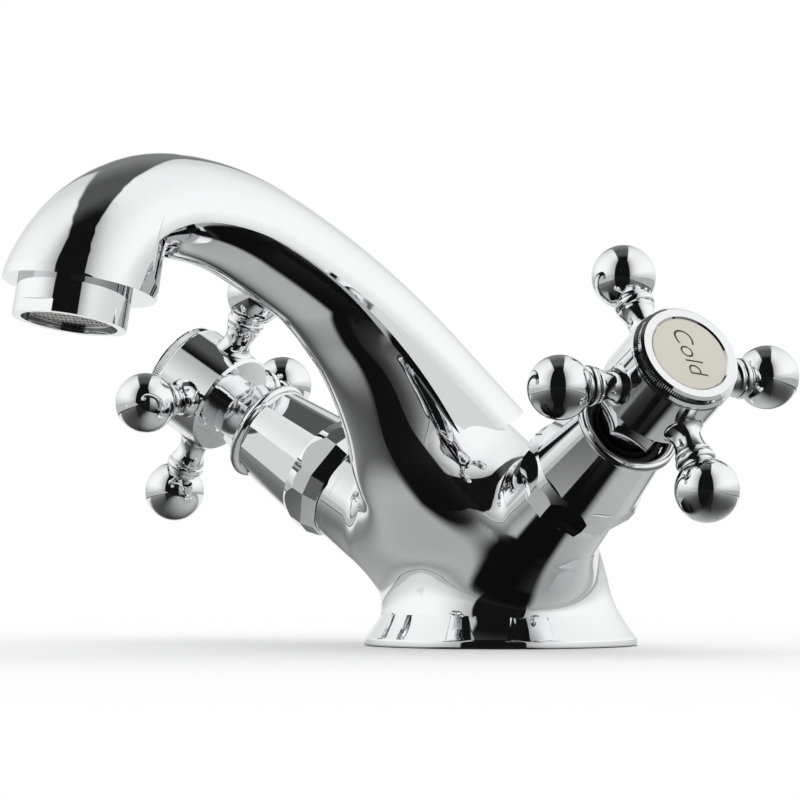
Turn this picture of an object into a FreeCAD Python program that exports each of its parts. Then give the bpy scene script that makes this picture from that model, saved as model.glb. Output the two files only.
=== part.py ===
# Basin mixer tap with two cross handles, a cast swan spout and ceramic-disc headworks.
# Millimetres. The origin is the centre of the base on the basin deck, +Z is up,
# the spout reaches towards -Y, the cold handle is on +X and the hot handle on -X.

import FreeCAD, Part
import math
import os
import Sketcher

Vector = FreeCAD.Vector
Rotation = FreeCAD.Rotation
Placement = FreeCAD.Placement

DOC = FreeCAD.newDocument("basin_mixer_tap")
SHEET = DOC.addObject("Spreadsheet::Sheet", "sizes")

# Driving dimensions: name, value, what it is
SIZES = [
    # base of the casting
    ("base_radius", 30.6, "foot of the casting"),
    ("base_rim_height", 1.4, "upright rim at the foot"),
    ("neck_radius", 22.3, "narrowest part above the foot"),
    ("neck_height", 19.0, "height of the narrowest part"),
    ("flare_radius", 39.0, "hollow curve of the foot"),
    ("base_top_radius", 12.0, "top of the turned foot, inside the body"),
    ("base_top_height", 26.0, "top of the turned foot, inside the body"),
    # handle axes
    ("handle_reach", 71.12, "centre of a handle from the middle"),
    ("handle_forward", 22.62, "centre of a handle in front of the middle"),
    ("handle_height", 57.14, "centre of a handle above the deck"),
    ("handle_tilt", 30.8, "degrees above the deck"),
    ("handle_sweep", 14.5, "degrees forward"),
    ("cold_spin", 3.6, "degrees, how the cold cross stands"),
    ("hot_spin", -6.4, "degrees, how the hot cross stands"),
    # arms of the cross
    ("arm_count", 4, "arms on a handle"),
    ("ball_centre", 26.5, "ball centre from the handle axis"),
    ("ball_radius", 6.87, "ball at the arm's end"),
    ("arm_bead_radius", 4.38, "rounded bead under the ball"),
    ("arm_bead_root", 3.7, "groove beside the bead"),
    ("arm_bead_width", 2.2, "width of the bead"),
    ("arm_groove_width", 0.2, "groove beside the bead"),
    ("arm_lip_radius", 3.95, "sharp lip below the bead"),
    ("arm_lip_width", 0.45, "width of the lip"),
    ("arm_waist_radius", 3.15, "thinnest part of the arm"),
    ("arm_waist_at", 14.6, "waist from the handle axis"),
    ("arm_foot_radius", 4.3, "bell-shaped foot of the arm on the hub"),
    ("arm_foot_rim", 0.25, "rim of the arm's foot"),
    ("arm_seat", 11.7, "flat seat of an arm from the handle axis"),
    ("arm_stub_radius", 2.4, "stub screwed into the hub"),
    ("arm_stub_length", 3.0, "length of that stub"),
    # hub of the handle
    ("hub_radius", 12.2, "barrel of the handle"),
    ("hub_front", 8.2, "front of the barrel from the ball plane"),
    ("hub_back", 5.3, "back of the barrel from the ball plane"),
    ("hub_edge", 0.6, "chamfer on the barrel's back edge"),
    ("hub_boss_radius", 7.2, "stepped boss behind the barrel"),
    ("hub_boss_step", 0.9, "step in the boss"),
    ("hub_boss_first", 1.6, "length of the wide part of the boss"),
    ("hub_boss_length", 3.7, "length of the boss"),
    ("hub_cavity_radius", 9.4, "recess under the cap"),
    ("hub_cavity_floor", 3.0, "floor of the recess from the ball plane"),
    # cap of the handle
    ("cap_height", 3.3, "cap above the barrel"),
    ("cap_face_radius", 10.8, "flat bright ring round the index disc"),
    ("cap_edge", 0.45, "chamfer of the bright ring"),
    ("cap_lip", 0.4, "bevel round the index disc"),
    ("cap_shoulder", 0.1, "step on either side of the knurl"),
    ("knurl_radius", 11.35, "knurled band"),
    ("knurl_depth", 0.25, "grooves of the knurl"),
    ("knurl_count", 132, "grooves of the knurl"),
    ("cap_bead_radius", 12.05, "smooth bead below the knurl"),
    ("cap_bead_height", 1.1, "height of that bead"),
    ("cap_plug_radius", 9.3, "plug of the cap in the barrel"),
    ("cap_plug_length", 2.2, "length of the plug"),
    ("cap_plug_bore", 7.2, "hollow of the plug"),
    ("cap_floor", 1.1, "web under the index disc"),
    ("index_drop", 0.3, "rim of the index disc below the bright ring"),
    ("index_radius", 8.65, "index disc"),
    ("index_thickness", 1.3, "index disc at its rim"),
    ("index_dome", 0.35, "crown of the index disc"),
    # handle screw
    ("screw_head_radius", 3.9, "pan head"),
    ("screw_head_height", 2.4, "pan head"),
    ("screw_radius", 2.0, "shank"),
    ("screw_length", 9.0, "shank"),
    ("screw_slot_width", 0.9, "slot in the head"),
    ("screw_slot_depth", 1.2, "slot in the head"),
    # spindle and its seals
    ("spindle_head_radius", 3.4, "splined head in the hub"),
    ("spindle_head_length", 11.0, "splined head in the hub"),
    ("spline_depth", 0.4, "splines of that head"),
    ("spline_count", 20, "splines of that head"),
    ("spindle_radius", 3.9, "shaft in the housing"),
    ("spindle_bore_depth", 10.5, "tapped hole for the handle screw"),
    ("spindle_foot_radius", 5.6, "foot that drives the disc"),
    ("spindle_foot_height", 2.6, "foot that drives the disc"),
    ("seal_groove_depth", 0.9, "grooves for the two spindle rings"),
    ("seal_groove_width", 1.5, "grooves for the two spindle rings"),
    ("seal_first", 20.5, "first ring from the ball plane"),
    ("seal_pitch", 3.4, "from ring to ring"),
    # hexagon gland nut
    ("nut_across_flats", 15.0, "spanner size"),
    ("nut_top", 9.4, "outer face from the ball plane"),
    ("nut_height", 4.4, "height of the nut"),
    ("nut_roof", 2.0, "roof of the nut over the stem"),
    ("nut_crown_drop", 0.9, "how far that chamfer comes down"),
    # headwork housing
    ("stem_radius", 5.9, "stem under the nut"),
    ("stem_wide_radius", 7.3, "stem below the nut"),
    ("flange_radius", 9.1, "flange on the neck"),
    ("flange_top", 20.0, "top of the flange from the ball plane"),
    ("flange_height", 3.2, "flange on the neck"),
    ("thread_radius", 8.2, "thread in the neck"),
    ("thread_length", 11.0, "thread in the neck"),
    ("barrel_radius", 7.5, "barrel below the thread"),
    ("barrel_end", 46.5, "end of the barrel from the ball plane"),
    ("disc_chamber_radius", 6.3, "chamber of the discs"),
    ("disc_chamber_top", 33.4, "top of the chamber from the ball plane"),
    ("window_radius", 2.2, "outlet windows in the barrel"),
    ("neck_ring_radius", 0.9, "sealing ring under the flange"),
    # ceramic discs and seat
    ("disc_radius", 6.15, "both discs"),
    ("disc_thickness", 3.6, "each disc"),
    ("disc_port_radius", 2.0, "port in a disc"),
    ("disc_port_at", 3.2, "port from the axis"),
    ("disc_port_depth", 2.2, "pocket in the moving disc"),
    ("seat_seal_bore", 4.2, "seat seal"),
    ("seat_proud", 0.8, "seat seal beyond the barrel"),
    # shroud
    ("shroud_top", 15.8, "collar from the ball plane"),
    ("shroud_bottom", 43.4, "lower edge from the ball plane"),
    ("shroud_hem_height", 3.4, "tapered hem at the lower edge"),
    ("shroud_hem_share", 0.93, "width of the hem's edge as a share of the facets' width"),
    ("shroud_facet_height", 5.8, "upright facets above the hem"),
    ("shroud_facet_apothem", 12.95, "six wide upright facets from the axis"),
    ("shroud_corner_apothem", 13.5, "six narrow upright facets from the axis"),
    ("shroud_edge_radius", 13.8, "turned outside of the facets"),
    ("shroud_bevel", 3.0, "turned bevel above the facets"),
    ("shroud_waist_radius", 12.75, "bell above that bevel"),
    ("shroud_neck_radius", 10.75, "bell under the collar"),
    ("shroud_flat_share", 0.97, "six long flats as a share of the bell's radius"),
    ("cold_shroud_turn", 24.5, "degrees, how the cold shroud stands"),
    ("hot_shroud_turn", -4.0, "degrees, how the hot shroud stands"),
    ("shroud_bore", 10.6, "hollow of the shroud"),
    ("shroud_mouth", 9.6, "opening in the collar"),
    ("collar_ring_radius", 1.15, "rolled ring of the collar"),
    ("collar_drop", 2.3, "straight part under the ring"),
    # branches of the casting
    ("branch_radius", 12.0, "branch under the shroud"),
    ("branch_root_radius", 15.2, "branch where it meets the body"),
    ("branch_root_at", 76.0, "that place from the ball plane"),
    ("branch_neck_radius", 9.5, "neck inside the shroud"),
    ("branch_gap", 0.15, "branch shoulder under the shroud"),
    # spout: the middle line is three arcs
    ("outlet_angle", 78.1, "degrees, how steep the outlet leg is"),
    ("nose_radius", 26.4, "arc over the outlet"),
    ("crown_forward", 100.1, "highest point of the middle line"),
    ("crown_height", 90.5, "highest point of the middle line"),
    ("crown_radius", 59.7, "arc behind the highest point"),
    ("crown_angle", 22.5, "degrees, where that arc ends"),
    ("fall_radius", 212.6, "long arc down to the body"),
    ("fall_angle", 37.05, "degrees, slope where the cap ends"),
    ("tail_length", 45.0, "straight end of the cap before it is trimmed"),
    ("tail_depth", 16.0, "upright sides of the cap's end before they are trimmed"),
    ("spout_radius", 14.8, "round cap of the spout"),
    ("nose_start_radius", 14.2, "round nose where it leaves the arm"),
    ("nose_end_radius", 16.3, "round nose at the outlet"),
    ("outlet_radius", 16.2, "round leg of the outlet"),
    ("outlet_offset", 1.27, "axis of that leg behind the aerator's axis"),
    ("keel_depth", 7.4, "keel of the arm below the middle line"),
    ("spout_lip", 0.7, "ledge between the cap and its keel"),
    ("spout_skirt", 0.5, "least upright side of the cap"),
    ("tail_front_height", 44.8, "lower edge of the cap at its corners"),
    ("tail_front_at", 26.0, "those corners in front of the middle"),
    ("tail_rear_height", 53.6, "end of the cap's ridge"),
    ("tail_rear_at", 1.5, "end of the cap's ridge behind the middle"),
    ("waterway_radius", 4.8, "bore of the spout"),
    ("waterway_rise", 2.0, "bore above the middle line"),
    # aerator
    ("aerator_tilt", 11.9, "degrees, how the outlet leans forward"),
    ("aerator_ahead", 26.15, "rim of the sleeve in front of the spout's highest point"),
    ("aerator_drop", 21.74, "rim of the sleeve below the middle line's highest point"),
    ("aerator_radius", 12.0, "sleeve"),
    ("aerator_show", 7.5, "sleeve below the collar"),
    ("aerator_thread_radius", 11.5, "thread in the spout"),
    ("aerator_thread_length", 5.0, "thread in the spout"),
    ("aerator_bore", 10.6, "hollow of the sleeve"),
    ("aerator_lip_bore", 10.1, "lip that holds the straightener"),
    ("aerator_lip_height", 1.0, "lip that holds the straightener"),
    ("aerator_flat_half", 11.3, "spanner flats from the axis"),
    ("aerator_flat_height", 2.6, "spanner flats"),
    ("aerator_turn", 12.0, "degrees, how the sleeve is screwed up"),
    ("screen_thickness", 0.5, "screen"),
    ("screen_radius", 8.6, "screen"),
    ("screen_pitch", 1.3, "from mesh to mesh"),
    ("screen_hole", 0.9, "square meshes of the screen"),
    ("cartridge_height", 9.4, "flow straightener"),
    ("cartridge_hole_radius", 1.3, "channels of the straightener"),
    ("washer_thickness", 1.6, "washer above the sleeve"),
    ("washer_bore", 7.5, "washer above the sleeve"),
    # underside
    ("inlet_offset", 10.5, "inlets from the middle"),
    ("inlet_radius", 4.5, "wall of the M10 x 1 inlet thread"),
    ("inlet_depth", 10.0, "inlet thread"),
    ("passage_radius", 3.6, "water passages"),
    ("duct_radius", 3.4, "mixing duct between the branches"),
    ("stud_back", 10.5, "fixing stud hole behind the middle"),
    ("stud_radius", 3.4, "wall of the M8 stud thread"),
    ("stud_depth", 14.0, "stud thread"),
    ("seal_outer", 28.0, "base seal"),
    ("seal_inner", 24.0, "base seal"),
    ("seal_height", 2.2, "base seal"),
    # fits
    ("running_clearance", 0.05, "radial, between parts that turn"),
    ("thread_clearance", 0.05, "radial, between screwed parts"),
    ("face_clearance", 0.3, "between faces that pass each other"),
    ("disc_clearance", 0.02, "between the two discs"),
    ("overrun", 1.0, "how far a cutting tool runs past a face"),
]


def fill_sheet():
    for row, (alias, number, note) in enumerate(SIZES, start=1):
        SHEET.set("A%d" % row, alias)
        SHEET.set("B%d" % row, str(number))
        SHEET.set("C%d" % row, note)
        SHEET.setAlias("B%d" % row, alias)
    DOC.recompute()


def size(expression):
    """The value of an expression written in the sheet's names."""
    return float(SHEET.evalExpression(bound(expression)))


def bound(expression):
    """Put the sheet's name in front of every size in an expression."""
    words = []
    word = ""
    for letter in expression + " ":
        if letter.isalpha() or letter == "_":
            word += letter
            continue
        if word in NAMES:
            word = "sizes." + word
        words.append(word + letter)
        word = ""
    return "".join(words).strip()


NAMES = {alias for alias, number, note in SIZES}
fill_sheet()


def arc_between(start, end, radius, turn):
    """Circle arc from start to end; turn is 1 anticlockwise, -1 clockwise."""
    if turn < 0:
        start, end = end, start
    half = (end - start) * 0.5
    rise = math.sqrt(max(radius * radius - half.Length * half.Length, 0.0))
    side = Vector(-half.y, half.x, 0)
    side.normalize()
    centre = start + half + side * rise
    first = math.atan2(start.y - centre.y, start.x - centre.x)
    last = math.atan2(end.y - centre.y, end.x - centre.x)
    return Part.ArcOfCircle(Part.Circle(centre, Vector(0, 0, 1), radius), first, last)


def outline(sketch, corners):
    """Closed outline through corners (x, y) or (x, y, arc radius, turn) given as expressions."""
    places = [Vector(size(corner[0]), size(corner[1]), 0) for corner in corners]
    ends = []
    for index, corner in enumerate(corners):
        start = places[index]
        end = places[(index + 1) % len(corners)]
        if len(corner) == 2:
            sketch.addGeometry(Part.LineSegment(start, end), False)
            ends.append((1, 2))
        else:
            sketch.addGeometry(arc_between(start, end, size(corner[2]), corner[3]), False)
            ends.append((1, 2) if corner[3] > 0 else (2, 1))
    for index, corner in enumerate(corners):
        after = (index + 1) % len(corners)
        sketch.addConstraint(Sketcher.Constraint("Coincident", index, ends[index][1],
                                                 after, ends[after][0]))
    for index, corner in enumerate(corners):
        for kind, text, axis, number in (("DistanceX", corner[0], -2, places[index].x),
                                         ("DistanceY", corner[1], -1, places[index].y)):
            if text == "0":
                sketch.addConstraint(Sketcher.Constraint("PointOnObject", index,
                                                         ends[index][0], axis))
                continue
            rule = sketch.addConstraint(Sketcher.Constraint(kind, -1, 1, index,
                                                            ends[index][0], number))
            sketch.setExpression("Constraints[%d]" % rule, bound(text))
        if len(corner) > 2:
            rule = sketch.addConstraint(Sketcher.Constraint("Radius", index, size(corner[2])))
            sketch.setExpression("Constraints[%d]" % rule, bound(corner[2]))


def new_sketch(body, name, role):
    sketch = body.newObject("Sketcher::SketchObject", name)
    plane = [feature for feature in body.Origin.OriginFeatures if feature.Role == role][0]
    sketch.AttachmentSupport = [(plane, "")]
    sketch.MapMode = "FlatFace"
    return sketch


def turned(name, corners):
    """Body turned about its own Z axis from corners (radius, height)."""
    body = DOC.addObject("PartDesign::Body", name)
    sketch = new_sketch(body, name + "_profile", "XZ_Plane")
    outline(sketch, corners)
    feature = body.newObject("PartDesign::Revolution", name + "_turning")
    feature.Profile = sketch
    feature.ReferenceAxis = (sketch, ["V_Axis"])
    feature.Angle = 360
    sketch.Visibility = False
    return body


def cylinder(name, radius, height, place=None):
    item = DOC.addObject("Part::Cylinder", name)
    item.setExpression("Radius", bound(radius))
    item.setExpression("Height", bound(height))
    item.Placement = place or Placement()
    return item


def prism(name, sides, circumradius, height, place=None):
    item = DOC.addObject("Part::Prism", name)
    item.Polygon = sides
    item.setExpression("Circumradius", bound(circumradius))
    item.setExpression("Height", bound(height))
    item.Placement = place or Placement()
    return item


def box(name, length, width, height, place):
    item = DOC.addObject("Part::Box", name)
    item.setExpression("Length", bound(length))
    item.setExpression("Width", bound(width))
    item.setExpression("Height", bound(height))
    item.Placement = place
    return item


def fuse(name, *items):
    item = DOC.addObject("Part::MultiFuse", name)
    item.Shapes = list(items)
    return item


def common(name, *items):
    item = DOC.addObject("Part::MultiCommon", name)
    item.Shapes = list(items)
    return item


def cut(name, base, *tools):
    item = DOC.addObject("Part::Cut", name)
    item.Base = base
    item.Tool = tools[0] if len(tools) == 1 else fuse(name + "_tools", *tools)
    return item


def shifted(height):
    return Placement(Vector(0, 0, height), Rotation())


SIDES = {"cold": 1, "hot": -1}
NODES = []


def handle_frame(side):
    """Local +Z is the handle axis pointing out, the origin is in the plane of the balls."""
    sign = SIDES[side]
    centre = Vector(sign * size("handle_reach"), -size("handle_forward"), size("handle_height"))
    yaw = -size("handle_sweep") if sign > 0 else 180.0 + size("handle_sweep")
    return Placement(centre, Rotation(yaw, 90.0 - size("handle_tilt"), 0))


def aerator_frame():
    """Local +Z points up into the outlet, the origin is in the rim of the sleeve."""
    centre = Vector(0, -size("crown_forward + aerator_ahead"), size("crown_height - aerator_drop"))
    return Placement(centre, Rotation(Vector(1, 0, 0), -size("aerator_tilt")))


def keep(item, label, place=None):
    """Name a finished sub-part and put it in its place."""
    item.Label = label
    if place is not None:
        item.Placement = place
    NODES.append(item)
    return item


# Middle line of the spout, in the plane X = 0

def along(start, heading, radius, turn, share):
    """Point and heading after a share of an arc; headings in degrees, turn is the whole turn."""
    angle = heading + turn * share
    first = math.radians(heading)
    last = math.radians(angle)
    bend = radius if turn > 0 else -radius
    y = start[0] + bend * (math.sin(last) - math.sin(first))
    z = start[1] - bend * (math.cos(last) - math.cos(first))
    return (y, z), angle


def middle_line(rise):
    """The three arcs of the middle line, moved outwards by rise: start, heading, radius, turn."""
    crown = (-size("crown_forward"), size("crown_height") + rise)
    nose = size("nose_radius") + rise
    steep = math.radians(size("outlet_angle"))
    outlet = (crown[0] - nose * math.sin(steep), crown[1] - nose * (1.0 - math.cos(steep)))
    first = (outlet, size("outlet_angle"), nose, -size("outlet_angle"))
    second = (crown, 0.0, size("crown_radius") + rise, -size("crown_angle"))
    knee, heading = along(*second, 1.0)
    third = (knee, heading, size("fall_radius") + rise, size("crown_angle") - size("fall_angle"))
    return [first, second, third]


def point_on(place, heading, x, up):
    """A point beside the middle line: x across, up square to the line."""
    lift = math.radians(heading)
    return Vector(x, place[0] - up * math.sin(lift), place[1] + up * math.cos(lift))


def arm_section(place, heading):
    """Round cap on top, a ledge under its edges and a shallow keel below."""
    radius = size("spout_radius")
    inner = radius - size("spout_lip")
    ledge = -size("spout_skirt")
    keel = -size("keel_depth")

    def at(x, up):
        return point_on(place, heading, x, up)

    return Part.Wire([
        Part.Arc(at(radius, 0), at(0, radius), at(-radius, 0)).toShape(),
        Part.makeLine(at(-radius, 0), at(-radius, ledge)),
        Part.makeLine(at(-radius, ledge), at(-inner, ledge)),
        Part.Arc(at(-inner, ledge), at(0, keel), at(inner, ledge)).toShape(),
        Part.makeLine(at(inner, ledge), at(radius, ledge)),
        Part.makeLine(at(radius, ledge), at(radius, 0)),
    ])


def tail_section(place, heading):
    """The cap where it deepens towards its end: round on top with upright sides."""
    radius = size("spout_radius")
    side = -size("tail_depth")

    def at(x, up):
        return point_on(place, heading, x, up)

    return Part.Wire([
        Part.Arc(at(radius, 0), at(0, radius), at(-radius, 0)).toShape(),
        Part.makeLine(at(-radius, 0), at(-radius, side)),
        Part.makeLine(at(-radius, side), at(radius, side)),
        Part.makeLine(at(radius, side), at(radius, 0)),
    ])


def round_section(radius):
    def section(place, heading):
        lift = math.radians(heading)
        return Part.Wire(Part.makeCircle(radius, Vector(0, *place),
                                         Vector(0, math.cos(lift), math.sin(lift))))
    return section


def swept(section, arcs, tail_length):
    """A section turned round the centre of each arc in turn, then run straight for the tail."""
    pieces = []
    for place, heading, radius, turn in arcs:
        lift = math.radians(heading)
        centre = Vector(0, place[0] + radius * math.sin(lift), place[1] - radius * math.cos(lift))
        face = Part.Face(section(place, heading))
        pieces.append(face.revolve(centre, Vector(1, 0, 0), turn))
    if tail_length:
        place, heading = along(*arcs[-1], 1.0)
        lift = math.radians(heading)
        run = Vector(0, math.cos(lift), math.sin(lift)) * tail_length
        pieces.append(Part.Face(section(place, heading)).extrude(run))
    whole = pieces[0]
    for piece in pieces[1:]:
        whole = whole.fuse(piece)
    return whole


def tail_region():
    """Upright slab whose side view is the cap's end: its lower edge bends down to two corners,
    and a sloping line runs from them up to the end of the ridge."""
    reach = size("spout_radius * 2")
    arcs = middle_line(0.0)
    start, heading = along(*arcs[2], 0.0)
    ledge = point_on(start, heading, -reach, -size("spout_skirt"))
    corner = Vector(-reach, -size("tail_front_at"), size("tail_front_height"))
    rear = Vector(-reach, size("tail_rear_at"), size("tail_rear_height"))
    # An arc that leaves the ledge along the middle line and ends in the corner
    lift = math.radians(heading)
    along_line = Vector(0, math.cos(lift), math.sin(lift))
    chord = corner - ledge
    square = Vector(0, math.sin(lift), -math.cos(lift))
    bend = chord.dot(chord) / (2.0 * chord.dot(square))
    centre = ledge + square * bend
    halfway = (ledge + corner) * 0.5 - centre
    halfway.normalize()
    edge = Part.Arc(ledge, centre + halfway * bend, corner).toShape()
    above = Vector(0, 0, size("crown_height"))
    beyond = rear + above
    back = ledge + above
    wire = Part.Wire([edge, Part.makeLine(corner, rear), Part.makeLine(rear, beyond),
                      Part.makeLine(beyond, back), Part.makeLine(back, ledge)])
    return Part.Face(wire).extrude(Vector(2.0 * reach, 0, 0))


def nose_shape(arc):
    """Round nose over the outlet, growing from the arm to the rim."""
    place, heading, radius, turn = arc
    end, last = along(*arc, 1.0)
    half, halfway = along(*arc, 0.5)
    path = Part.Wire(Part.Arc(Vector(0, *end), Vector(0, *half), Vector(0, *place)).toShape())
    rim = round_section(size("nose_end_radius"))(place, heading)
    start = round_section(size("nose_start_radius"))(end, last)
    return path.makePipeShell([start, rim], True, False)


def leg_shape():
    """Upright round leg over the rim of the outlet, a little behind the aerator."""
    frame = aerator_frame()
    length = size("nose_radius + spout_radius")
    outward = frame.Rotation.multVec(Vector(0, 0, 1))
    centre = frame.multVec(Vector(0, size("outlet_offset"), size("aerator_show")))
    return Part.makeCylinder(size("outlet_radius"), length, centre, outward)


def spout_shape():
    """Cap and keel of the arm, the deeper end of the cap, and the round outlet leg."""
    arcs = middle_line(0.0)
    arm = swept(arm_section, arcs, 0.0)
    tail = swept(tail_section, arcs[2:], size("tail_length")).common(tail_region())
    return arm.fuse(tail).fuse(nose_shape(arcs[0]).common(leg_shape()))


# Sections of the core, from the arm down to the neck, in shares of neck_radius:
# front (y, z), back (y, z), half width
CORE_SECTION_SHARES = [
    (-2.98, 3.55, -2.70, 4.05, 0.34),
    (-2.71, 3.12, -2.22, 3.72, 0.48),
    (-2.32, 2.72, -1.62, 3.32, 0.55),
    (-2.08, 2.36, -0.98, 2.86, 0.59),
    (-1.93, 2.00, -0.36, 2.42, 0.64),
    (-1.78, 1.66, 0.16, 2.02, 0.74),
    (-1.52, 1.32, 0.54, 1.60, 0.86),
    (-1.20, 1.02, 0.82, 1.14, 0.95),
    (-1.00, 0.72, 0.98, 0.72, 0.98),
]


def core_shape():
    scale = size("neck_radius")
    point_count = 16
    wires = []
    for front_y, front_z, back_y, back_z, half in CORE_SECTION_SHARES:
        front = Vector(0, front_y, front_z) * scale
        back = Vector(0, back_y, back_z) * scale
        middle = (front + back) * 0.5
        reach = (back - front) * 0.5
        places = []
        for step in range(point_count):
            turn = 2.0 * math.pi * step / point_count
            places.append(middle + reach * math.cos(turn)
                          + Vector(1, 0, 0) * (half * scale * math.sin(turn)))
        curve = Part.BSplineCurve()
        curve.interpolate(Points=places, PeriodicFlag=True)
        wires.append(Part.Wire(curve.toShape()))
    return Part.makeLoft(wires, True, False)


def waterway_shape():
    """Bore of the spout: a round bore along the middle line, down to the mixing duct."""
    arcs = middle_line(size("waterway_rise"))
    place, heading = along(*arcs[2], 1.0)
    lift = math.radians(heading)
    length = (duct_centre().y - place[0]) / math.cos(lift)
    return swept(round_section(size("waterway_radius")), arcs, length)


def duct_centre():
    """Where the mixing duct crosses the middle, level with the outlet windows."""
    place = handle_frame("cold").multVec(Vector(0, 0, -window_depth()))
    return Vector(0, place.y, place.z)


def window_depth():
    return size("barrel_end - disc_thickness * 0.5 - seat_proud")


def solid(name, shape):
    item = DOC.addObject("Part::Feature", name)
    item.Shape = shape
    return item


def tap_body():
    foot = turned("foot", [
        ("0", "0"),
        ("base_radius", "0"),
        ("base_radius", "base_rim_height", "flare_radius", -1),
        ("neck_radius", "neck_height"),
        ("base_top_radius", "base_top_height"),
        ("0", "base_top_height"),
    ])
    core = solid("core", core_shape())
    spout = solid("spout", spout_shape())
    branches = []
    tools = []
    for side in SIDES:
        frame = handle_frame(side)
        shoulder = "shroud_bottom + branch_gap"
        branch = turned(side + "_branch", [
            ("0", "-(branch_root_at)"),
            ("branch_root_radius", "-(branch_root_at)"),
            ("branch_radius", "-(%s)" % shoulder),
            ("branch_neck_radius", "-(%s)" % shoulder),
            ("branch_neck_radius", "-(flange_top + flange_height)"),
            ("0", "-(flange_top + flange_height)"),
        ])
        branch.Placement = frame
        branches.append(branch)
        bore = turned(side + "_bore", [
            ("0", "-(branch_root_at)"),
            ("passage_radius", "-(branch_root_at)"),
            ("passage_radius", "-(barrel_end + seat_proud)"),
            ("barrel_radius + face_clearance", "-(barrel_end + seat_proud)"),
            ("barrel_radius + face_clearance", "-(flange_top + flange_height + thread_length)"),
            ("thread_radius + thread_clearance", "-(flange_top + flange_height + thread_length)"),
            ("thread_radius + thread_clearance", "-(flange_top)"),
            ("0", "-(flange_top)"),
        ])
        bore.Placement = frame
        tools.append(bore)
        inlet_x = SIDES[side] * size("inlet_offset")
        meeting = inlet_meeting(side)
        thread = cylinder(side + "_inlet_thread", "inlet_radius", "inlet_depth + overrun",
                          Placement(Vector(inlet_x, meeting.y, -size("overrun")), Rotation()))
        riser = cylinder(side + "_riser", "passage_radius", "inlet_depth",
                         Placement(Vector(inlet_x, meeting.y, 0), Rotation()))
        riser.Height = meeting.z
        tools += [thread, riser]
    duct_reach = handle_frame("cold").multVec(Vector(0, 0, -window_depth())).x
    duct = cylinder("duct", "duct_radius", "handle_reach",
                    Placement(Vector(-duct_reach, duct_centre().y, duct_centre().z),
                              Rotation(Vector(0, 1, 0), 90)))
    duct.setExpression("Height", None)
    duct.Height = 2.0 * duct_reach
    waterway = solid("waterway", waterway_shape())
    outlet = cylinder("outlet_bore", "aerator_thread_radius + thread_clearance",
                      "aerator_thread_length + washer_thickness",
                      aerator_frame() * shifted(size("aerator_show")))
    rim = cylinder("rim_face", "outlet_radius + spout_radius", "nose_radius",
                   aerator_frame() * shifted(size("aerator_show - nose_radius")))
    stud = cylinder("stud_bore", "stud_radius", "stud_depth + overrun",
                    Placement(Vector(0, size("stud_back"), -size("overrun")), Rotation()))
    groove = turned("seal_groove", [
        ("seal_inner - thread_clearance", "-overrun"),
        ("seal_outer + thread_clearance", "-overrun"),
        ("seal_outer + thread_clearance", "seal_height"),
        ("seal_inner - thread_clearance", "seal_height"),
    ])
    tools += [duct, waterway, outlet, rim, stud, groove]
    casting = fuse("casting", foot, core, spout, *branches)
    keep(cut("tap_body", casting, *tools), "tap_body")


def inlet_meeting(side):
    """Where the upright inlet meets the passage along the handle axis."""
    frame = handle_frame(side)
    outward = frame.Rotation.multVec(Vector(0, 0, 1))
    reach = (SIDES[side] * size("inlet_offset") - frame.Base.x) / outward.x
    return frame.Base + outward * reach


def toothed_ring(name, count, radius, depth, bore, low, high):
    """Upright ring with pointed teeth round its outside; a bore of 0 leaves it solid."""
    tooth_count = int(size(count))
    crest = size(radius)
    root = crest - size(depth)
    places = []
    for step in range(2 * tooth_count):
        turn = math.pi * step / tooth_count
        reach = root if step % 2 else crest
        places.append(Vector(reach * math.cos(turn), reach * math.sin(turn), size(low)))
    wires = [Part.makePolygon(places + places[:1])]
    if size(bore) > 0:
        wires.append(Part.Wire(Part.makeCircle(size(bore), Vector(0, 0, size(low)))))
    face = Part.Face(wires, "Part::FaceMakerBullseye")
    return solid(name, face.extrude(Vector(0, 0, size(high) - size(low))))


def base_parts():
    seal = turned("base_seal", [
        ("seal_inner", "0"),
        ("seal_outer", "0"),
        ("seal_outer", "seal_height"),
        ("seal_inner", "seal_height"),
    ])
    keep(seal, "base_seal")


# Rings of channels in the straightener: share of its radius, number of channels
CHANNEL_RING_SHARES = [(0.0, 1), (0.35, 6), (0.72, 12)]


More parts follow.
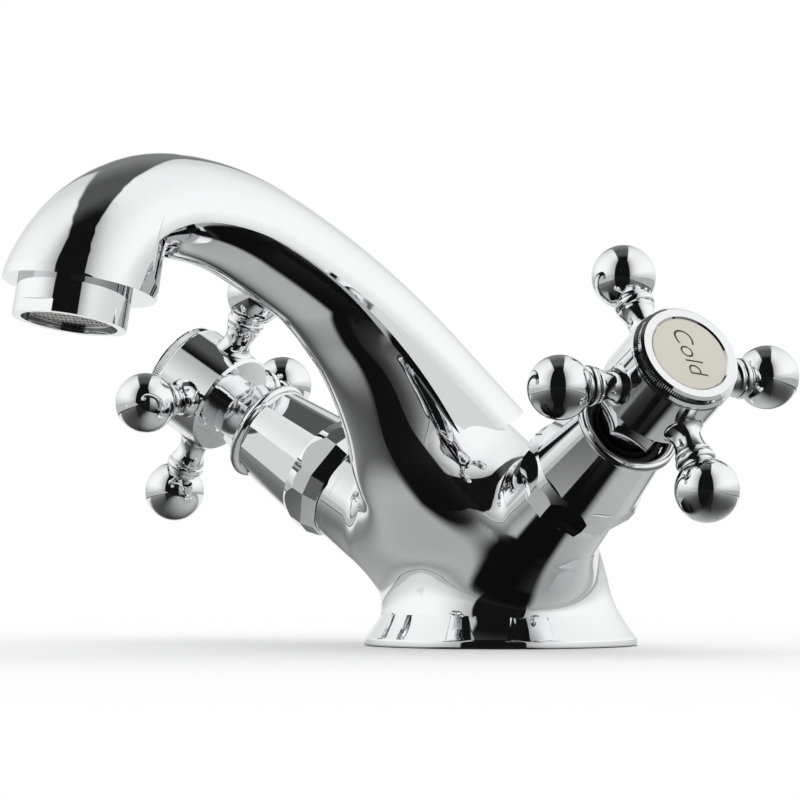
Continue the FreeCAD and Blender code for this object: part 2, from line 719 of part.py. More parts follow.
def aerator_parts():
    frame = aerator_frame()
    top = "aerator_show + aerator_thread_length"
    blank = turned("sleeve_blank", [
        ("aerator_lip_bore", "0"),
        ("aerator_radius", "0"),
        ("aerator_radius", "aerator_show"),
        ("aerator_thread_radius", "aerator_show"),
        ("aerator_thread_radius", top),
        ("aerator_bore", top),
        ("aerator_bore", "aerator_lip_height"),
        ("aerator_lip_bore", "aerator_lip_height"),
    ])
    flats = []
    for name, sign in (("front_flat", -1), ("back_flat", 1)):
        place = Placement(Vector(-size("aerator_radius"), 0, -size("overrun")), Rotation())
        if sign > 0:
            place.Base.y = size("aerator_flat_half")
        else:
            place.Base.y = -size("aerator_flat_half + aerator_radius")
        flats.append(box(name, "2 * aerator_radius", "aerator_radius",
                         "aerator_flat_height + overrun", place))
    keep(cut("aerator_sleeve", blank, *flats), "aerator_sleeve",
         frame * Placement(Vector(), Rotation(Vector(0, 0, 1), size("aerator_turn"))))

    keep(solid("aerator_screen", screen_shape()), "aerator_screen", frame)

    floor = "aerator_lip_height + screen_thickness"
    cartridge = turned("cartridge_blank", [
        ("0", floor),
        ("screen_radius + thread_clearance", floor),
        ("screen_radius + thread_clearance", "aerator_lip_height"),
        ("aerator_bore - thread_clearance", "aerator_lip_height"),
        ("aerator_bore - thread_clearance", floor + " + cartridge_height"),
        ("0", floor + " + cartridge_height"),
    ])
    channels = []
    for share, count in CHANNEL_RING_SHARES:
        for step in range(count):
            turn = 2.0 * math.pi * step / count
            reach = share * size("aerator_bore")
            place = Vector(reach * math.cos(turn), reach * math.sin(turn), size(floor))
            channels.append(cylinder("channel", "cartridge_hole_radius", "cartridge_height",
                                     Placement(place, Rotation())))
    keep(cut("aerator_cartridge", cartridge, *channels), "aerator_cartridge", frame)

    washer = turned("aerator_washer", [
        ("washer_bore", top),
        ("aerator_thread_radius", top),
        ("aerator_thread_radius", top + " + washer_thickness"),
        ("washer_bore", top + " + washer_thickness"),
    ])
    keep(washer, "aerator_washer", frame)


def screen_shape():
    """Flat net: a disc with a grid of square meshes that stay clear of its rim."""
    level = Vector(0, 0, size("aerator_lip_height"))
    pitch = size("screen_pitch")
    hole = size("screen_hole")
    wires = [Part.Wire(Part.makeCircle(size("screen_radius"), level))]
    reach = size("screen_radius")
    half_count = int(reach / pitch)
    for column in range(-half_count, half_count + 1):
        for row in range(-half_count, half_count + 1):
            centre = level + Vector(column * pitch, row * pitch, 0)
            farthest = math.hypot(abs(centre.x) + hole / 2.0, abs(centre.y) + hole / 2.0)
            if farthest > reach - (pitch - hole):
                continue
            corners = [centre + Vector(x, y, 0) * (hole / 2.0)
                       for x, y in ((-1, -1), (1, -1), (1, 1), (-1, 1))]
            wires.append(Part.makePolygon(corners + corners[:1]))
    face = Part.Face(wires, "Part::FaceMakerBullseye")
    return face.extrude(Vector(0, 0, size("screen_thickness")))


def hexagon_taper(name, lower, lower_at, upper, upper_at, turn):
    """Solid between two hexagons of given apothem, at two depths from the ball plane."""
    ends = []
    for label, apothem, depth in (("lower", lower, lower_at), ("upper", upper, upper_at)):
        hexagon = DOC.addObject("Part::RegularPolygon", "%s_%s" % (name, label))
        hexagon.setExpression("Circumradius", bound("(%s) / cos(30)" % apothem))
        hexagon.Placement = shifted(-size(depth)) * turn
        ends.append(hexagon)
    item = DOC.addObject("Part::Loft", name)
    item.Sections = ends
    item.Solid = True
    item.Ruled = True
    return item


def shroud(side, frame):
    """Faceted hexagon bell with a rolled collar, hollow inside."""
    flush = Placement()
    across = Placement(Vector(), Rotation(Vector(0, 0, 1), 30))
    bottom = "shroud_bottom"
    hem = "shroud_bottom - shroud_hem_height"
    facets = "shroud_bottom - shroud_hem_height - shroud_facet_height"
    neck = "shroud_top + collar_ring_radius"
    wide = "shroud_facet_apothem"
    narrow = "shroud_corner_apothem"
    share = " * shroud_hem_share"
    hem_part = common(
        side + "_shroud_hem",
        hexagon_taper(side + "_hem_wide", wide + share, bottom, wide, hem, across),
        hexagon_taper(side + "_hem_narrow", narrow + share, bottom, narrow, hem, flush))
    envelope = turned(side + "_shroud_envelope", [
        ("0", "-(%s)" % hem),
        ("shroud_edge_radius", "-(%s)" % hem),
        ("shroud_edge_radius", "-(%s + shroud_bevel)" % facets),
        ("shroud_waist_radius", "-(%s)" % facets),
        ("0", "-(%s)" % facets),
    ])
    facet_part = common(
        side + "_shroud_facets", envelope,
        hexagon_taper(side + "_facets_wide", wide, hem, wide, facets, across),
        hexagon_taper(side + "_facets_narrow", narrow, hem, narrow, facets, flush))
    cone = turned(side + "_shroud_cone", [
        ("0", "-(%s)" % facets),
        ("shroud_waist_radius", "-(%s)" % facets),
        ("shroud_neck_radius", "-(%s)" % neck),
        ("0", "-(%s)" % neck),
    ])
    bell_part = common(
        side + "_shroud_bell", cone,
        hexagon_taper(side + "_bell_flats", "shroud_waist_radius * shroud_flat_share", facets,
                      "shroud_neck_radius * shroud_flat_share", neck, flush))
    ring = DOC.addObject("Part::Torus", side + "_shroud_ring")
    ring.setExpression("Radius1", bound("shroud_mouth + collar_ring_radius"))
    ring.setExpression("Radius2", bound("collar_ring_radius"))
    ring.Placement = shifted(-size(neck))
    outside = fuse(side + "_shroud_outside", hem_part, facet_part, bell_part, ring)
    hollow = turned(side + "_shroud_hollow", [
        ("0", "-(shroud_bottom + overrun)"),
        ("shroud_bore", "-(shroud_bottom + overrun)"),
        ("shroud_bore", "-(%s)" % facets),
        ("shroud_mouth", "-(%s + collar_drop)" % neck),
        ("shroud_mouth", "-(%s)" % neck),
        ("0", "-(%s)" % neck),
    ])
    turn = Placement(Vector(), Rotation(Vector(0, 0, 1), size(side + "_shroud_turn")))
    keep(cut(side + "_shroud", outside, hollow), side + "_shroud", frame * turn)


def headwork(side, frame):
    """Static pieces of one valve."""
    stem_top = "nut_top + nut_roof"
    chamber = "disc_chamber_radius"
    blank = turned(side + "_housing_blank", [
        ("spindle_radius + running_clearance", "-(%s)" % stem_top),
        ("spindle_radius + running_clearance", "-(disc_chamber_top)"),
        (chamber, "-(disc_chamber_top)"),
        (chamber, "-(barrel_end)"),
        ("barrel_radius", "-(barrel_end)"),
        ("barrel_radius", "-(flange_top + flange_height + thread_length)"),
        ("thread_radius", "-(flange_top + flange_height + thread_length)"),
        ("thread_radius", "-(flange_top + flange_height)"),
        ("flange_radius", "-(flange_top + flange_height)"),
        ("flange_radius", "-(flange_top)"),
        ("stem_wide_radius", "-(flange_top)"),
        ("stem_wide_radius", "-(nut_top + nut_height)"),
        ("stem_radius", "-(nut_top + nut_height)"),
        ("stem_radius", "-(%s)" % stem_top),
    ])
    window = cylinder(side + "_window", "window_radius", "2 * barrel_radius + 2 * overrun",
                      Placement(Vector(-size("barrel_radius + overrun"), 0, -window_depth()),
                                Rotation(Vector(0, 1, 0), 90)))
    keep(cut(side + "_headwork_housing", blank, window), side + "_headwork_housing", frame)

    corner = "nut_across_flats * 0.5 / cos(30)"
    hexagon = prism(side + "_nut_hexagon", 6, corner, "nut_height",
                    shifted(-size("nut_top + nut_height")))
    crown = turned(side + "_nut_crown", [
        ("spindle_radius + running_clearance", "-(nut_top)"),
        ("spindle_radius + running_clearance", "-(%s)" % stem_top),
        ("stem_radius + thread_clearance", "-(%s)" % stem_top),
        ("stem_radius + thread_clearance", "-(nut_top + nut_height)"),
        (corner, "-(nut_top + nut_height)"),
        (corner, "-(nut_top + nut_crown_drop)"),
        ("nut_across_flats * 0.5", "-(nut_top)"),
    ])
    keep(common(side + "_gland_nut", hexagon, crown), side + "_gland_nut", frame)

    ring = DOC.addObject("Part::Torus", side + "_housing_ring")
    ring.setExpression("Radius1", bound("stem_wide_radius + neck_ring_radius"))
    ring.setExpression("Radius2", bound("neck_ring_radius"))
    keep(ring, side + "_housing_o_ring",
         frame * shifted(-size("flange_top - neck_ring_radius")))

    lower_face = "barrel_end - seat_proud"
    fixed = turned(side + "_fixed_disc_blank", [
        ("0", "-(%s)" % lower_face),
        ("disc_radius", "-(%s)" % lower_face),
        ("disc_radius", "-(%s - disc_thickness)" % lower_face),
        ("0", "-(%s - disc_thickness)" % lower_face),
    ])
    port = cylinder(side + "_fixed_port", "disc_port_radius", "disc_thickness + 2 * overrun",
                    Placement(Vector(size("disc_port_at"), 0, -size(lower_face + " + overrun")),
                              Rotation()))
    keep(cut(side + "_fixed_disc", fixed, port), side + "_fixed_disc", frame)

    seat = turned(side + "_seat_seal", [
        ("seat_seal_bore", "-(barrel_end + seat_proud)"),
        ("disc_radius", "-(barrel_end + seat_proud)"),
        ("disc_radius", "-(%s)" % lower_face),
        ("seat_seal_bore", "-(%s)" % lower_face),
    ])
    keep(seat, side + "_seat_seal", frame)


def valve_insides(side, frame):
    """Turning pieces of one valve, below the handle."""
    top = "-(hub_boss_length + hub_back - spindle_head_length)"
    shoulder = "-(hub_back + hub_boss_length)"
    disc_face = "barrel_end - seat_proud - disc_thickness - disc_clearance"
    foot = disc_face + " - disc_thickness"
    groove = "spindle_radius - seal_groove_depth"
    second = "seal_first + seal_pitch"
    corners = [
        ("0", "-(%s)" % foot),
        ("spindle_foot_radius", "-(%s)" % foot),
        ("spindle_foot_radius", "-(%s - spindle_foot_height)" % foot),
        ("spindle_radius", "-(%s - spindle_foot_height)" % foot),
    ]
    for start in (second, "seal_first"):
        corners += [
            ("spindle_radius", "-(%s + seal_groove_width * 0.5)" % start),
            (groove, "-(%s + seal_groove_width * 0.5)" % start),
            (groove, "-(%s - seal_groove_width * 0.5)" % start),
            ("spindle_radius", "-(%s - seal_groove_width * 0.5)" % start),
        ]
    corners += [
        ("spindle_radius", shoulder),
        ("spindle_head_radius - spline_depth - face_clearance", shoulder),
        ("spindle_head_radius - spline_depth - face_clearance", top),
        ("screw_radius + thread_clearance", top),
        ("screw_radius + thread_clearance", top + " - spindle_bore_depth"),
        ("0", top + " - spindle_bore_depth"),
    ]
    shaft = turned(side + "_shaft", corners)
    splines = toothed_ring(side + "_splines", "spline_count", "spindle_head_radius",
                           "spline_depth", "screw_radius + face_clearance", shoulder, top)
    keep(fuse(side + "_spindle", shaft, splines), side + "_spindle", frame)

    rings = []
    for number, start in enumerate(("seal_first", second), start=1):
        ring = turned("%s_ring_%d" % (side, number), [
            (groove, "-(%s + seal_groove_width * 0.5 - thread_clearance)" % start),
            ("spindle_radius", "-(%s + seal_groove_width * 0.5 - thread_clearance)" % start),
            ("spindle_radius", "-(%s - seal_groove_width * 0.5 + thread_clearance)" % start),
            (groove, "-(%s - seal_groove_width * 0.5 + thread_clearance)" % start),
        ])
        rings.append(ring)
    pair = DOC.addObject("Part::Compound", side + "_rings")
    pair.Links = rings
    keep(pair, side + "_spindle_o_rings", frame)

    upper = turned(side + "_moving_blank", [
        ("0", "-(%s)" % disc_face),
        ("disc_radius", "-(%s)" % disc_face),
        ("disc_radius", "-(%s)" % foot),
        ("0", "-(%s)" % foot),
    ])
    port = cylinder(side + "_moving_port", "disc_port_radius", "disc_port_depth",
                    Placement(Vector(-size("disc_port_at"), 0, -size(disc_face)), Rotation()))
    keep(cut(side + "_moving_disc", upper, port), side + "_moving_disc", frame)


def arc_radius(reach, rise):
    """Radius of an arc that climbs by rise over reach from where it runs level."""
    return "((%s) * (%s) + (%s) * (%s)) / (2 * (%s))" % (reach, reach, rise, rise, rise)


def handle_arm(side, number, frame):
    """One turned arm with its ball, screwed on a flat of the hub."""
    seat = "arm_seat"
    root = "arm_bead_root"
    ball_start = "ball_centre - sqrt(ball_radius * ball_radius - %s * %s)" % (root, root)
    bead_end = ball_start + " - arm_groove_width"
    bead_start = bead_end + " - arm_bead_width"
    lip_end = bead_start + " - arm_groove_width"
    lip_start = lip_end + " - arm_lip_width"
    bulge = arc_radius("arm_bead_width * 0.5", "arm_bead_radius - arm_bead_root")
    flare = arc_radius(lip_start + " - arm_waist_at", "arm_lip_radius - arm_waist_radius")
    bell = arc_radius("arm_waist_at - arm_seat - arm_foot_rim", "arm_foot_radius - arm_waist_radius")
    corners = [
        ("0", seat + " - arm_stub_length"),
        ("arm_stub_radius", seat + " - arm_stub_length"),
        ("arm_stub_radius", seat),
        ("arm_foot_radius", seat),
        ("arm_foot_radius", seat + " + arm_foot_rim", bell, -1),
        ("arm_waist_radius", "arm_waist_at", flare, -1),
        ("arm_lip_radius", lip_start),
        ("arm_lip_radius", lip_end),
        (root, lip_end),
        (root, bead_start, bulge, 1),
        (root, bead_end),
        (root, ball_start, "ball_radius", 1),
        ("0", "ball_centre + ball_radius"),
    ]
    arm = turned("%s_arm_%d" % (side, number), corners)
    spin = size(side + "_spin") + (number - 1) * 360.0 / size("arm_count")
    turn = Placement(Vector(), Rotation(Vector(0, 0, 1), spin))
    outward = Placement(Vector(), Rotation(Vector(0, 1, 0), 90))
    keep(arm, "%s_arm_%d" % (side, number), frame * turn * outward)


def handle(side, frame):
    blank = turned(side + "_hub_blank", [
        ("0", "-(hub_back + hub_boss_length)"),
        ("hub_boss_radius - hub_boss_step", "-(hub_back + hub_boss_length)"),
        ("hub_boss_radius - hub_boss_step", "-(hub_back + hub_boss_first)"),
        ("hub_boss_radius", "-(hub_back + hub_boss_first)"),
        ("hub_boss_radius", "-(hub_back)"),
        ("hub_radius - hub_edge", "-(hub_back)"),
        ("hub_radius", "-(hub_back - hub_edge)"),
        ("hub_radius", "hub_front"),
        ("hub_cavity_radius", "hub_front"),
        ("hub_cavity_radius", "hub_cavity_floor"),
        ("0", "hub_cavity_floor"),
    ])
    tools = [toothed_ring(side + "_spline_bore", "spline_count",
                          "spindle_head_radius + thread_clearance", "spline_depth", "0",
                          "-(hub_back + hub_boss_length + overrun)", "hub_cavity_floor + overrun")]
    spin = size(side + "_spin")
    for number in range(int(size("arm_count"))):
        turn = Placement(Vector(), Rotation(Vector(0, 0, 1),
                                            spin + number * 360.0 / size("arm_count")))
        outward = Placement(Vector(), Rotation(Vector(0, 1, 0), 90))
        seat = turn * outward * shifted(size("arm_seat"))
        stub = turn * outward * shifted(size("arm_seat - arm_stub_length"))
        tools.append(cylinder("%s_seat_%d" % (side, number), "arm_foot_radius + face_clearance",
                              "hub_radius - arm_seat + overrun", seat))
        tools.append(cylinder("%s_tapping_%d" % (side, number),
                              "arm_stub_radius + thread_clearance", "arm_stub_length", stub))
    keep(cut(side + "_handle_hub", blank, *tools), side + "_handle_hub", frame)

    for number in range(1, int(size("arm_count")) + 1):
        handle_arm(side, number, frame)

    shank_top = "hub_cavity_floor"
    screw = turned(side + "_screw_blank", [
        ("0", "%s - screw_length" % shank_top),
        ("screw_radius", "%s - screw_length" % shank_top),
        ("screw_radius", shank_top),
        ("screw_head_radius", shank_top),
        ("screw_head_radius", shank_top + " + screw_head_height * 0.5"),
        ("screw_head_radius - screw_head_height * 0.5", shank_top + " + screw_head_height"),
        ("0", shank_top + " + screw_head_height"),
    ])
    slot = box(side + "_slot", "2 * screw_head_radius", "screw_slot_width",
               "screw_slot_depth + overrun",
               Placement(Vector(-size("screw_head_radius"), -size("screw_slot_width * 0.5"),
                                size(shank_top + " + screw_head_height - screw_slot_depth")),
                         Rotation()))
    keep(cut(side + "_handle_screw", screw, slot), side + "_handle_screw", frame)

    face = "hub_front + cap_height"
    rim = face + " - index_drop"
    recess = rim + " - index_thickness"
    cap = turned(side + "_cap_blank", [
        ("0", recess + " - cap_floor"),
        ("cap_plug_bore", recess + " - cap_floor"),
        ("cap_plug_bore", "hub_front - cap_plug_length"),
        ("cap_plug_radius", "hub_front - cap_plug_length"),
        ("cap_plug_radius", "hub_front"),
        ("cap_bead_radius - cap_edge", "hub_front"),
        ("cap_bead_radius", "hub_front + cap_edge"),
        ("cap_bead_radius", "hub_front + cap_bead_height - cap_edge"),
        ("knurl_radius + cap_shoulder", "hub_front + cap_bead_height"),
        ("knurl_radius - knurl_depth - cap_shoulder", "hub_front + cap_bead_height"),
        ("knurl_radius - knurl_depth - cap_shoulder", face + " - cap_edge"),
        ("knurl_radius + cap_shoulder", face + " - cap_edge"),
        ("cap_face_radius", face),
        ("index_radius + thread_clearance + cap_lip", face),
        ("index_radius + thread_clearance", face + " - cap_lip"),
        ("index_radius + thread_clearance", recess),
        ("0", recess),
    ])
    knurl = toothed_ring(side + "_knurl", "knurl_count", "knurl_radius", "knurl_depth",
                         "index_radius + cap_lip", "hub_front + cap_bead_height",
                         face + " - cap_edge")
    keep(fuse(side + "_cap_ring", cap, knurl), side + "_cap_ring", frame)

    crown = "(index_radius * index_radius + index_dome * index_dome) / (2 * index_dome)"
    disc = turned(side + "_index_disc", [
        ("0", recess),
        ("index_radius", recess),
        ("index_radius", rim, crown, 1),
        ("0", rim + " + index_dome"),
    ])
    keep(disc, side + "_index_disc", frame)


def check_document():
    for item in DOC.Objects:
        if "Invalid" in item.State or "Error" in item.State:
            raise RuntimeError("%s failed to build" % item.Label)
    for item in NODES:
        if item.Shape.isNull() or not item.Shape.isValid():
            raise RuntimeError("%s has no valid shape" % item.Label)


def write_parts():
    os.makedirs("parts", exist_ok=True)
    for item in NODES:
        item.Shape.exportStep("parts/%s.step" % item.Label)
        box_of = item.Shape.BoundBox
        print("%-24s %2d solids %9.1f mm3  x %.1f %.1f  y %.1f %.1f  z %.1f %.1f" % (
            item.Label, len(item.Shape.Solids), item.Shape.Volume, box_of.XMin, box_of.XMax,
            box_of.YMin, box_of.YMax, box_of.ZMin, box_of.ZMax))


tap_body()
base_parts()
aerator_parts()
for side_name in SIDES:
    axis_frame = handle_frame(side_name)
    shroud(side_name, axis_frame)
    headwork(side_name, axis_frame)
    valve_insides(side_name, axis_frame)
    handle(side_name, axis_frame)
DOC.recompute()
check_document()
write_parts()
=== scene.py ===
# Basin mixer tap in polished chrome, dressed round its fixed frame and lit as in a studio.
# Metres, except where a heading or a name says millimetres. The frame's own axes are kept.

import math
from collections import namedtuple
from itertools import product

import bpy
import numpy as np
from mathutils import Matrix, Vector


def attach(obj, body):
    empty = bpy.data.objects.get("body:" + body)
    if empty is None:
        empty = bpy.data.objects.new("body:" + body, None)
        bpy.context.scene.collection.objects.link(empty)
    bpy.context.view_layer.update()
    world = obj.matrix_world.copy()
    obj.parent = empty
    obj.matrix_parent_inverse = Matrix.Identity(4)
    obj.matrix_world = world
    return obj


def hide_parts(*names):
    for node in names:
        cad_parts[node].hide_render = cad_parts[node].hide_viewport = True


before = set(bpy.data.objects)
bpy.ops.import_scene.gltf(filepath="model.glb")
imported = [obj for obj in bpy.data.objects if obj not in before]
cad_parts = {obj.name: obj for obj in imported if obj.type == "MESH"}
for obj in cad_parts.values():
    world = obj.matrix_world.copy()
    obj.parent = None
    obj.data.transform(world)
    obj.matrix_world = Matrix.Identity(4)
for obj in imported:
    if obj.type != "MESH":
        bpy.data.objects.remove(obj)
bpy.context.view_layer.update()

MM = 0.001

scene = bpy.context.scene
scene.view_settings.view_transform = "Standard"


# Camera, read from the photograph's perspective; angles in degrees

CAMERA_PLACE_MM = (728.5, -734.0, 31.3)
CAMERA_AZIMUTH = 46.04
CAMERA_ELEVATION = -1.31
CAMERA_LENS_MM = 206.74
SENSOR_MM = 36.0
NEAREST_SEEN = 0.01
FARTHEST_SEEN = 50.0


def add_camera():
    data = bpy.data.cameras.new("camera")
    data.lens = CAMERA_LENS_MM
    data.sensor_width = SENSOR_MM
    data.clip_start = NEAREST_SEEN
    data.clip_end = FARTHEST_SEEN
    camera = bpy.data.objects.new("camera", data)
    scene.collection.objects.link(camera)
    camera.location = Vector(CAMERA_PLACE_MM) * MM
    camera.rotation_euler = (math.radians(90.0 - CAMERA_ELEVATION), 0.0,
                             math.radians(CAMERA_AZIMUTH))
    scene.camera = camera


# Node trees

class Wiring:
    """Short names for building a node tree."""

    def __init__(self, tree):
        self.tree = tree
        tree.nodes.clear()

    def node(self, kind, **settings):
        node = self.tree.nodes.new(kind)
        for name, value in settings.items():
            setattr(node, name, value)
        return node

    def link(self, source, target):
        """Feed a socket from another one, or set it to a plain number."""
        if isinstance(source, (int, float)):
            target.default_value = source
        else:
            self.tree.links.new(source, target)

    def math(self, operation, first, second):
        node = self.node("ShaderNodeMath", operation=operation)
        self.link(first, node.inputs[0])
        self.link(second, node.inputs[1])
        return node.outputs["Value"]

    def times(self, first, *others):
        for other in others:
            first = self.math("MULTIPLY", first, other)
        return first

    def dot(self, source, direction):
        node = self.node("ShaderNodeVectorMath", operation="DOT_PRODUCT")
        self.link(source, node.inputs[0])
        node.inputs[1].default_value = direction
        return node.outputs["Value"]

    def length(self, source):
        node = self.node("ShaderNodeVectorMath", operation="LENGTH")
        self.link(source, node.inputs[0])
        return node.outputs["Value"]

    def span(self, source, low, high, start=0.0, end=1.0, kind="SMOOTHSTEP"):
        """Change from start to end while source runs from low to high."""
        node = self.node("ShaderNodeMapRange", interpolation_type=kind)
        for name, value in (("Value", source), ("From Min", low), ("From Max", high),
                            ("To Min", start), ("To Max", end)):
            self.link(value, node.inputs[name])
        return node.outputs["Result"]

    def blend(self, share, low, high):
        """Mix two grey levels."""
        node = self.node("ShaderNodeMix", data_type="FLOAT")
        for name, value in (("Factor", share), ("A", low), ("B", high)):
            self.link(value, node.inputs[name])
        return node.outputs["Result"]

    def noise(self, place, scale, detail):
        node = self.node("ShaderNodeTexNoise")
        for name, value in (("Vector", place), ("Scale", scale), ("Detail", detail)):
            self.link(value, node.inputs[name])
        return node.outputs["Fac"]

    def output(self, kind, source):
        self.link(source, self.node(kind).inputs["Surface"])


# Materials. Scales are per metre, depths in metres.

NOISE_SPAN = (0.3, 0.7)
GRAIN_DETAIL = 4.0
WAVE_DETAIL = 1.0
WAVE_DEPTH = 0.00001
MOTTLE_SHADE = 0.94
MOTTLE_SCALE = 0.3
MOTTLE_DETAIL = 3.0
PORE_SCALE = 2.0
PORE_DETAIL = 2.0


def surface(name, rough, grain):
    """Material whose roughness varies a little, with its wiring, its shader and the coordinates
    that its patterns follow."""
    material = bpy.data.materials.new(name)
    material.use_nodes = True
    wiring = Wiring(material.node_tree)
    place = wiring.node("ShaderNodeTexCoord").outputs["Object"]
    shader = wiring.node("ShaderNodeBsdfPrincipled")
    spots = wiring.noise(place, grain, GRAIN_DETAIL)
    wiring.link(wiring.span(spots, *NOISE_SPAN, *rough, kind="LINEAR"), shader.inputs["Roughness"])
    wiring.output("ShaderNodeOutputMaterial", shader.outputs["BSDF"])
    return material, wiring, shader, place


def add_bump(wiring, shader, pattern, depth):
    bump = wiring.node("ShaderNodeBump")
    bump.inputs["Strength"].default_value = 1.0
    bump.inputs["Distance"].default_value = depth
    wiring.link(pattern, bump.inputs["Height"])
    wiring.link(bump.outputs["Normal"], shader.inputs["Normal"])


def metal(name, colour, rough, grain, wave):
    """Metal whose polish varies a little, with a faint wave from hand polishing."""
    material, wiring, shader, place = surface(name, rough, grain)
    shader.inputs["Base Color"].default_value = (*colour, 1.0)
    shader.inputs["Metallic"].default_value = 1.0
    add_bump(wiring, shader, wiring.noise(place, wave, WAVE_DETAIL), WAVE_DEPTH)
    return material


def moulded(name, colour, rough, grain, depth):
    """Non-metal with a faint mottle and a fine uneven skin."""
    material, wiring, shader, place = surface(name, rough, grain)
    mix = wiring.node("ShaderNodeMix", data_type="RGBA")
    mix.inputs["A"].default_value = (*colour, 1.0)
    mix.inputs["B"].default_value = (*(channel * MOTTLE_SHADE for channel in colour), 1.0)
    wiring.link(wiring.noise(place, grain * MOTTLE_SCALE, MOTTLE_DETAIL), mix.inputs["Factor"])
    wiring.link(mix.outputs["Result"], shader.inputs["Base Color"])
    add_bump(wiring, shader, wiring.noise(place, grain * PORE_SCALE, PORE_DETAIL), depth)
    return material


CHROME = (0.93, 0.935, 0.94)
POLISH = (0.015, 0.04)
# Colour, least and most roughness, grain of the polish and scale of the wave
METALS = {
    "body_chrome": (CHROME, POLISH, 900.0, 60.0),
    "shroud_chrome": (CHROME, POLISH, 900.0, 90.0),
    "handle_chrome": (CHROME, POLISH, 900.0, 120.0),
    "sleeve_chrome": (CHROME, POLISH, 900.0, 120.0),
    "nut_chrome": (CHROME, (0.03, 0.08), 1200.0, 200.0),
    "valve_brass": ((0.80, 0.62, 0.34), (0.18, 0.32), 700.0, 300.0),
    "steel": ((0.62, 0.62, 0.61), (0.12, 0.25), 1500.0, 400.0),
    "housing_dark_metal": ((0.30, 0.30, 0.31), (0.08, 0.16), 900.0, 200.0),
}
# Colour, least and most roughness, grain of the skin and its depth
MOULDINGS = {
    "rubber": ((0.02, 0.02, 0.02), (0.55, 0.75), 1200.0, 0.00003),
    "ceramic": ((0.85, 0.84, 0.80), (0.12, 0.22), 600.0, 0.000005),
    "index_ivory": ((0.80, 0.77, 0.68), (0.08, 0.14), 300.0, 0.000005),
    "insert_plastic": ((0.015, 0.015, 0.016), (0.25, 0.4), 900.0, 0.00001),
    "word_ink": ((0.045, 0.038, 0.032), (0.3, 0.45), 900.0, 0.000005),
}
MATERIALS = {name: metal(name, *look) for name, look in METALS.items()}
MATERIALS.update({name: moulded(name, *look) for name, look in MOULDINGS.items()})
# The valve housing, part of which shows in its shroud's mouth, gets a dark grey metal
DARK_HOUSINGS = ("hot_headwork_housing", "cold_headwork_housing")


def dress(node):
    """Give a carried-over node the material of its slot, on every face."""
    slots = [material.name.split(".")[0] for material in node.data.materials if material]
    node.data.materials.clear()
    for slot in slots:
        node.data.materials.append(MATERIALS[slot])


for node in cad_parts.values():
    dress(node)
for name in DARK_HOUSINGS:
    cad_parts[name].material_slots[0].material = MATERIALS["housing_dark_metal"]


# Casting, in millimetres. The spout's cap and outlet keep the frame's own surfaces, and all
# below them is one cast skin, whose branches, keel, neck and foot run together in soft hollows.
# The skin is where a distance is zero that is negative inside the metal.

# Spout: three arcs in the plane X = 0 run from the nose over the crown and the knee to a
# straight tail, with a round cap over that line and a bowed keel under it
CROWN_YZ = (-100.1, 90.5)
NOSE_RADIUS = 26.4
CROWN_RADIUS = 59.7
FALL_RADIUS = 212.6
KNEE_SLOPE = math.radians(22.5)
TAIL_SLOPE = math.radians(37.05)
CAP_RADIUS = 14.8
CAP_SKIRT = 0.5
KEEL_DEPTH = 7.4
KEEL_EDGE = 14.1
KEEL_COVER = 14.5
KEEL_FRONT = -112.0
NOSE_KEEL_LOW = 72.0
KEEL_BOW = (KEEL_EDGE ** 2 + (KEEL_DEPTH - CAP_SKIRT) ** 2) / (2.0 * (KEEL_DEPTH - CAP_SKIRT))

# Branches: each runs down its handle's axis, and depth counts from the plane of the balls
HANDLE_CENTRE = (71.12, -22.62, 57.14)
HANDLE_TILT = math.radians(30.8)
HANDLE_SWEEP = math.radians(14.5)
BRANCH_RADIUS = 12.0
SHOULDER_DEPTH = 43.55
ROOT_RADIUS = 15.2
ROOT_DEPTH = 76.0
BRANCH_GROWTH = (ROOT_RADIUS - BRANCH_RADIUS) / (ROOT_DEPTH - SHOULDER_DEPTH)

# Foot: upright rim, hollow flare up to the neck, and from there a slope towards the axis
# that passes through the radius and height of SLOPE_END
BASE_RADIUS = 30.6
RIM_HEIGHT = 1.4
FLARE_RADIUS = 39.0
NECK_RADIUS = 22.3
NECK_HEIGHT = 19.0
SLOPE_END = (12.0, 26.0)
NECK_ROUND = 4.0
NECK_ROUND_HEIGHTS = (10.0, 16.0)

# Core of the body: oval sections from the spout down to the foot. A row holds the y and z of
# the section's front end, those of its back end and half its width, in neck radii.
CORE_SHARES = (
    (-2.98, 3.55, -2.70, 4.05, 0.34),
    (-2.71, 3.12, -2.22, 3.72, 0.48),
    (-2.32, 2.72, -1.62, 3.32, 0.55),
    (-2.08, 2.36, -0.98, 2.86, 0.59),
    (-1.93, 2.00, -0.36, 2.42, 0.65),
    (-1.78, 1.66, 0.16, 2.02, 0.82),
    (-1.52, 1.32, 0.54, 1.60, 0.96),
    (-1.20, 1.02, 0.82, 1.14, 1.00),
    (-1.00, 0.72, 0.98, 0.72, 0.98),
    (-0.98, 0.10, 0.98, 0.10, 0.97),
)
LAST_SECTION = len(CORE_SHARES) - 1.0
SECTION_HALVINGS = 26
LEAST_SHARE = 0.05
LEAST_STEEPNESS = 1.0 / (2.0 * NECK_RADIUS)

# How far the pieces run into each other. The branch's hollow starts under its shoulder.
# WELL_INSIDE stands in for a distance that limits nothing.
KEEL_BLEND = 1.6
BRANCH_BLEND = 13.0
FOOT_BLEND = 4.0
BRANCH_START = SHOULDER_DEPTH + 0.6
HOLLOW_DEPTHS = (SHOULDER_DEPTH + 1.5, SHOULDER_DEPTH + 13.5)
LEAST_BLEND = 1e-6
WELL_INSIDE = -1.0


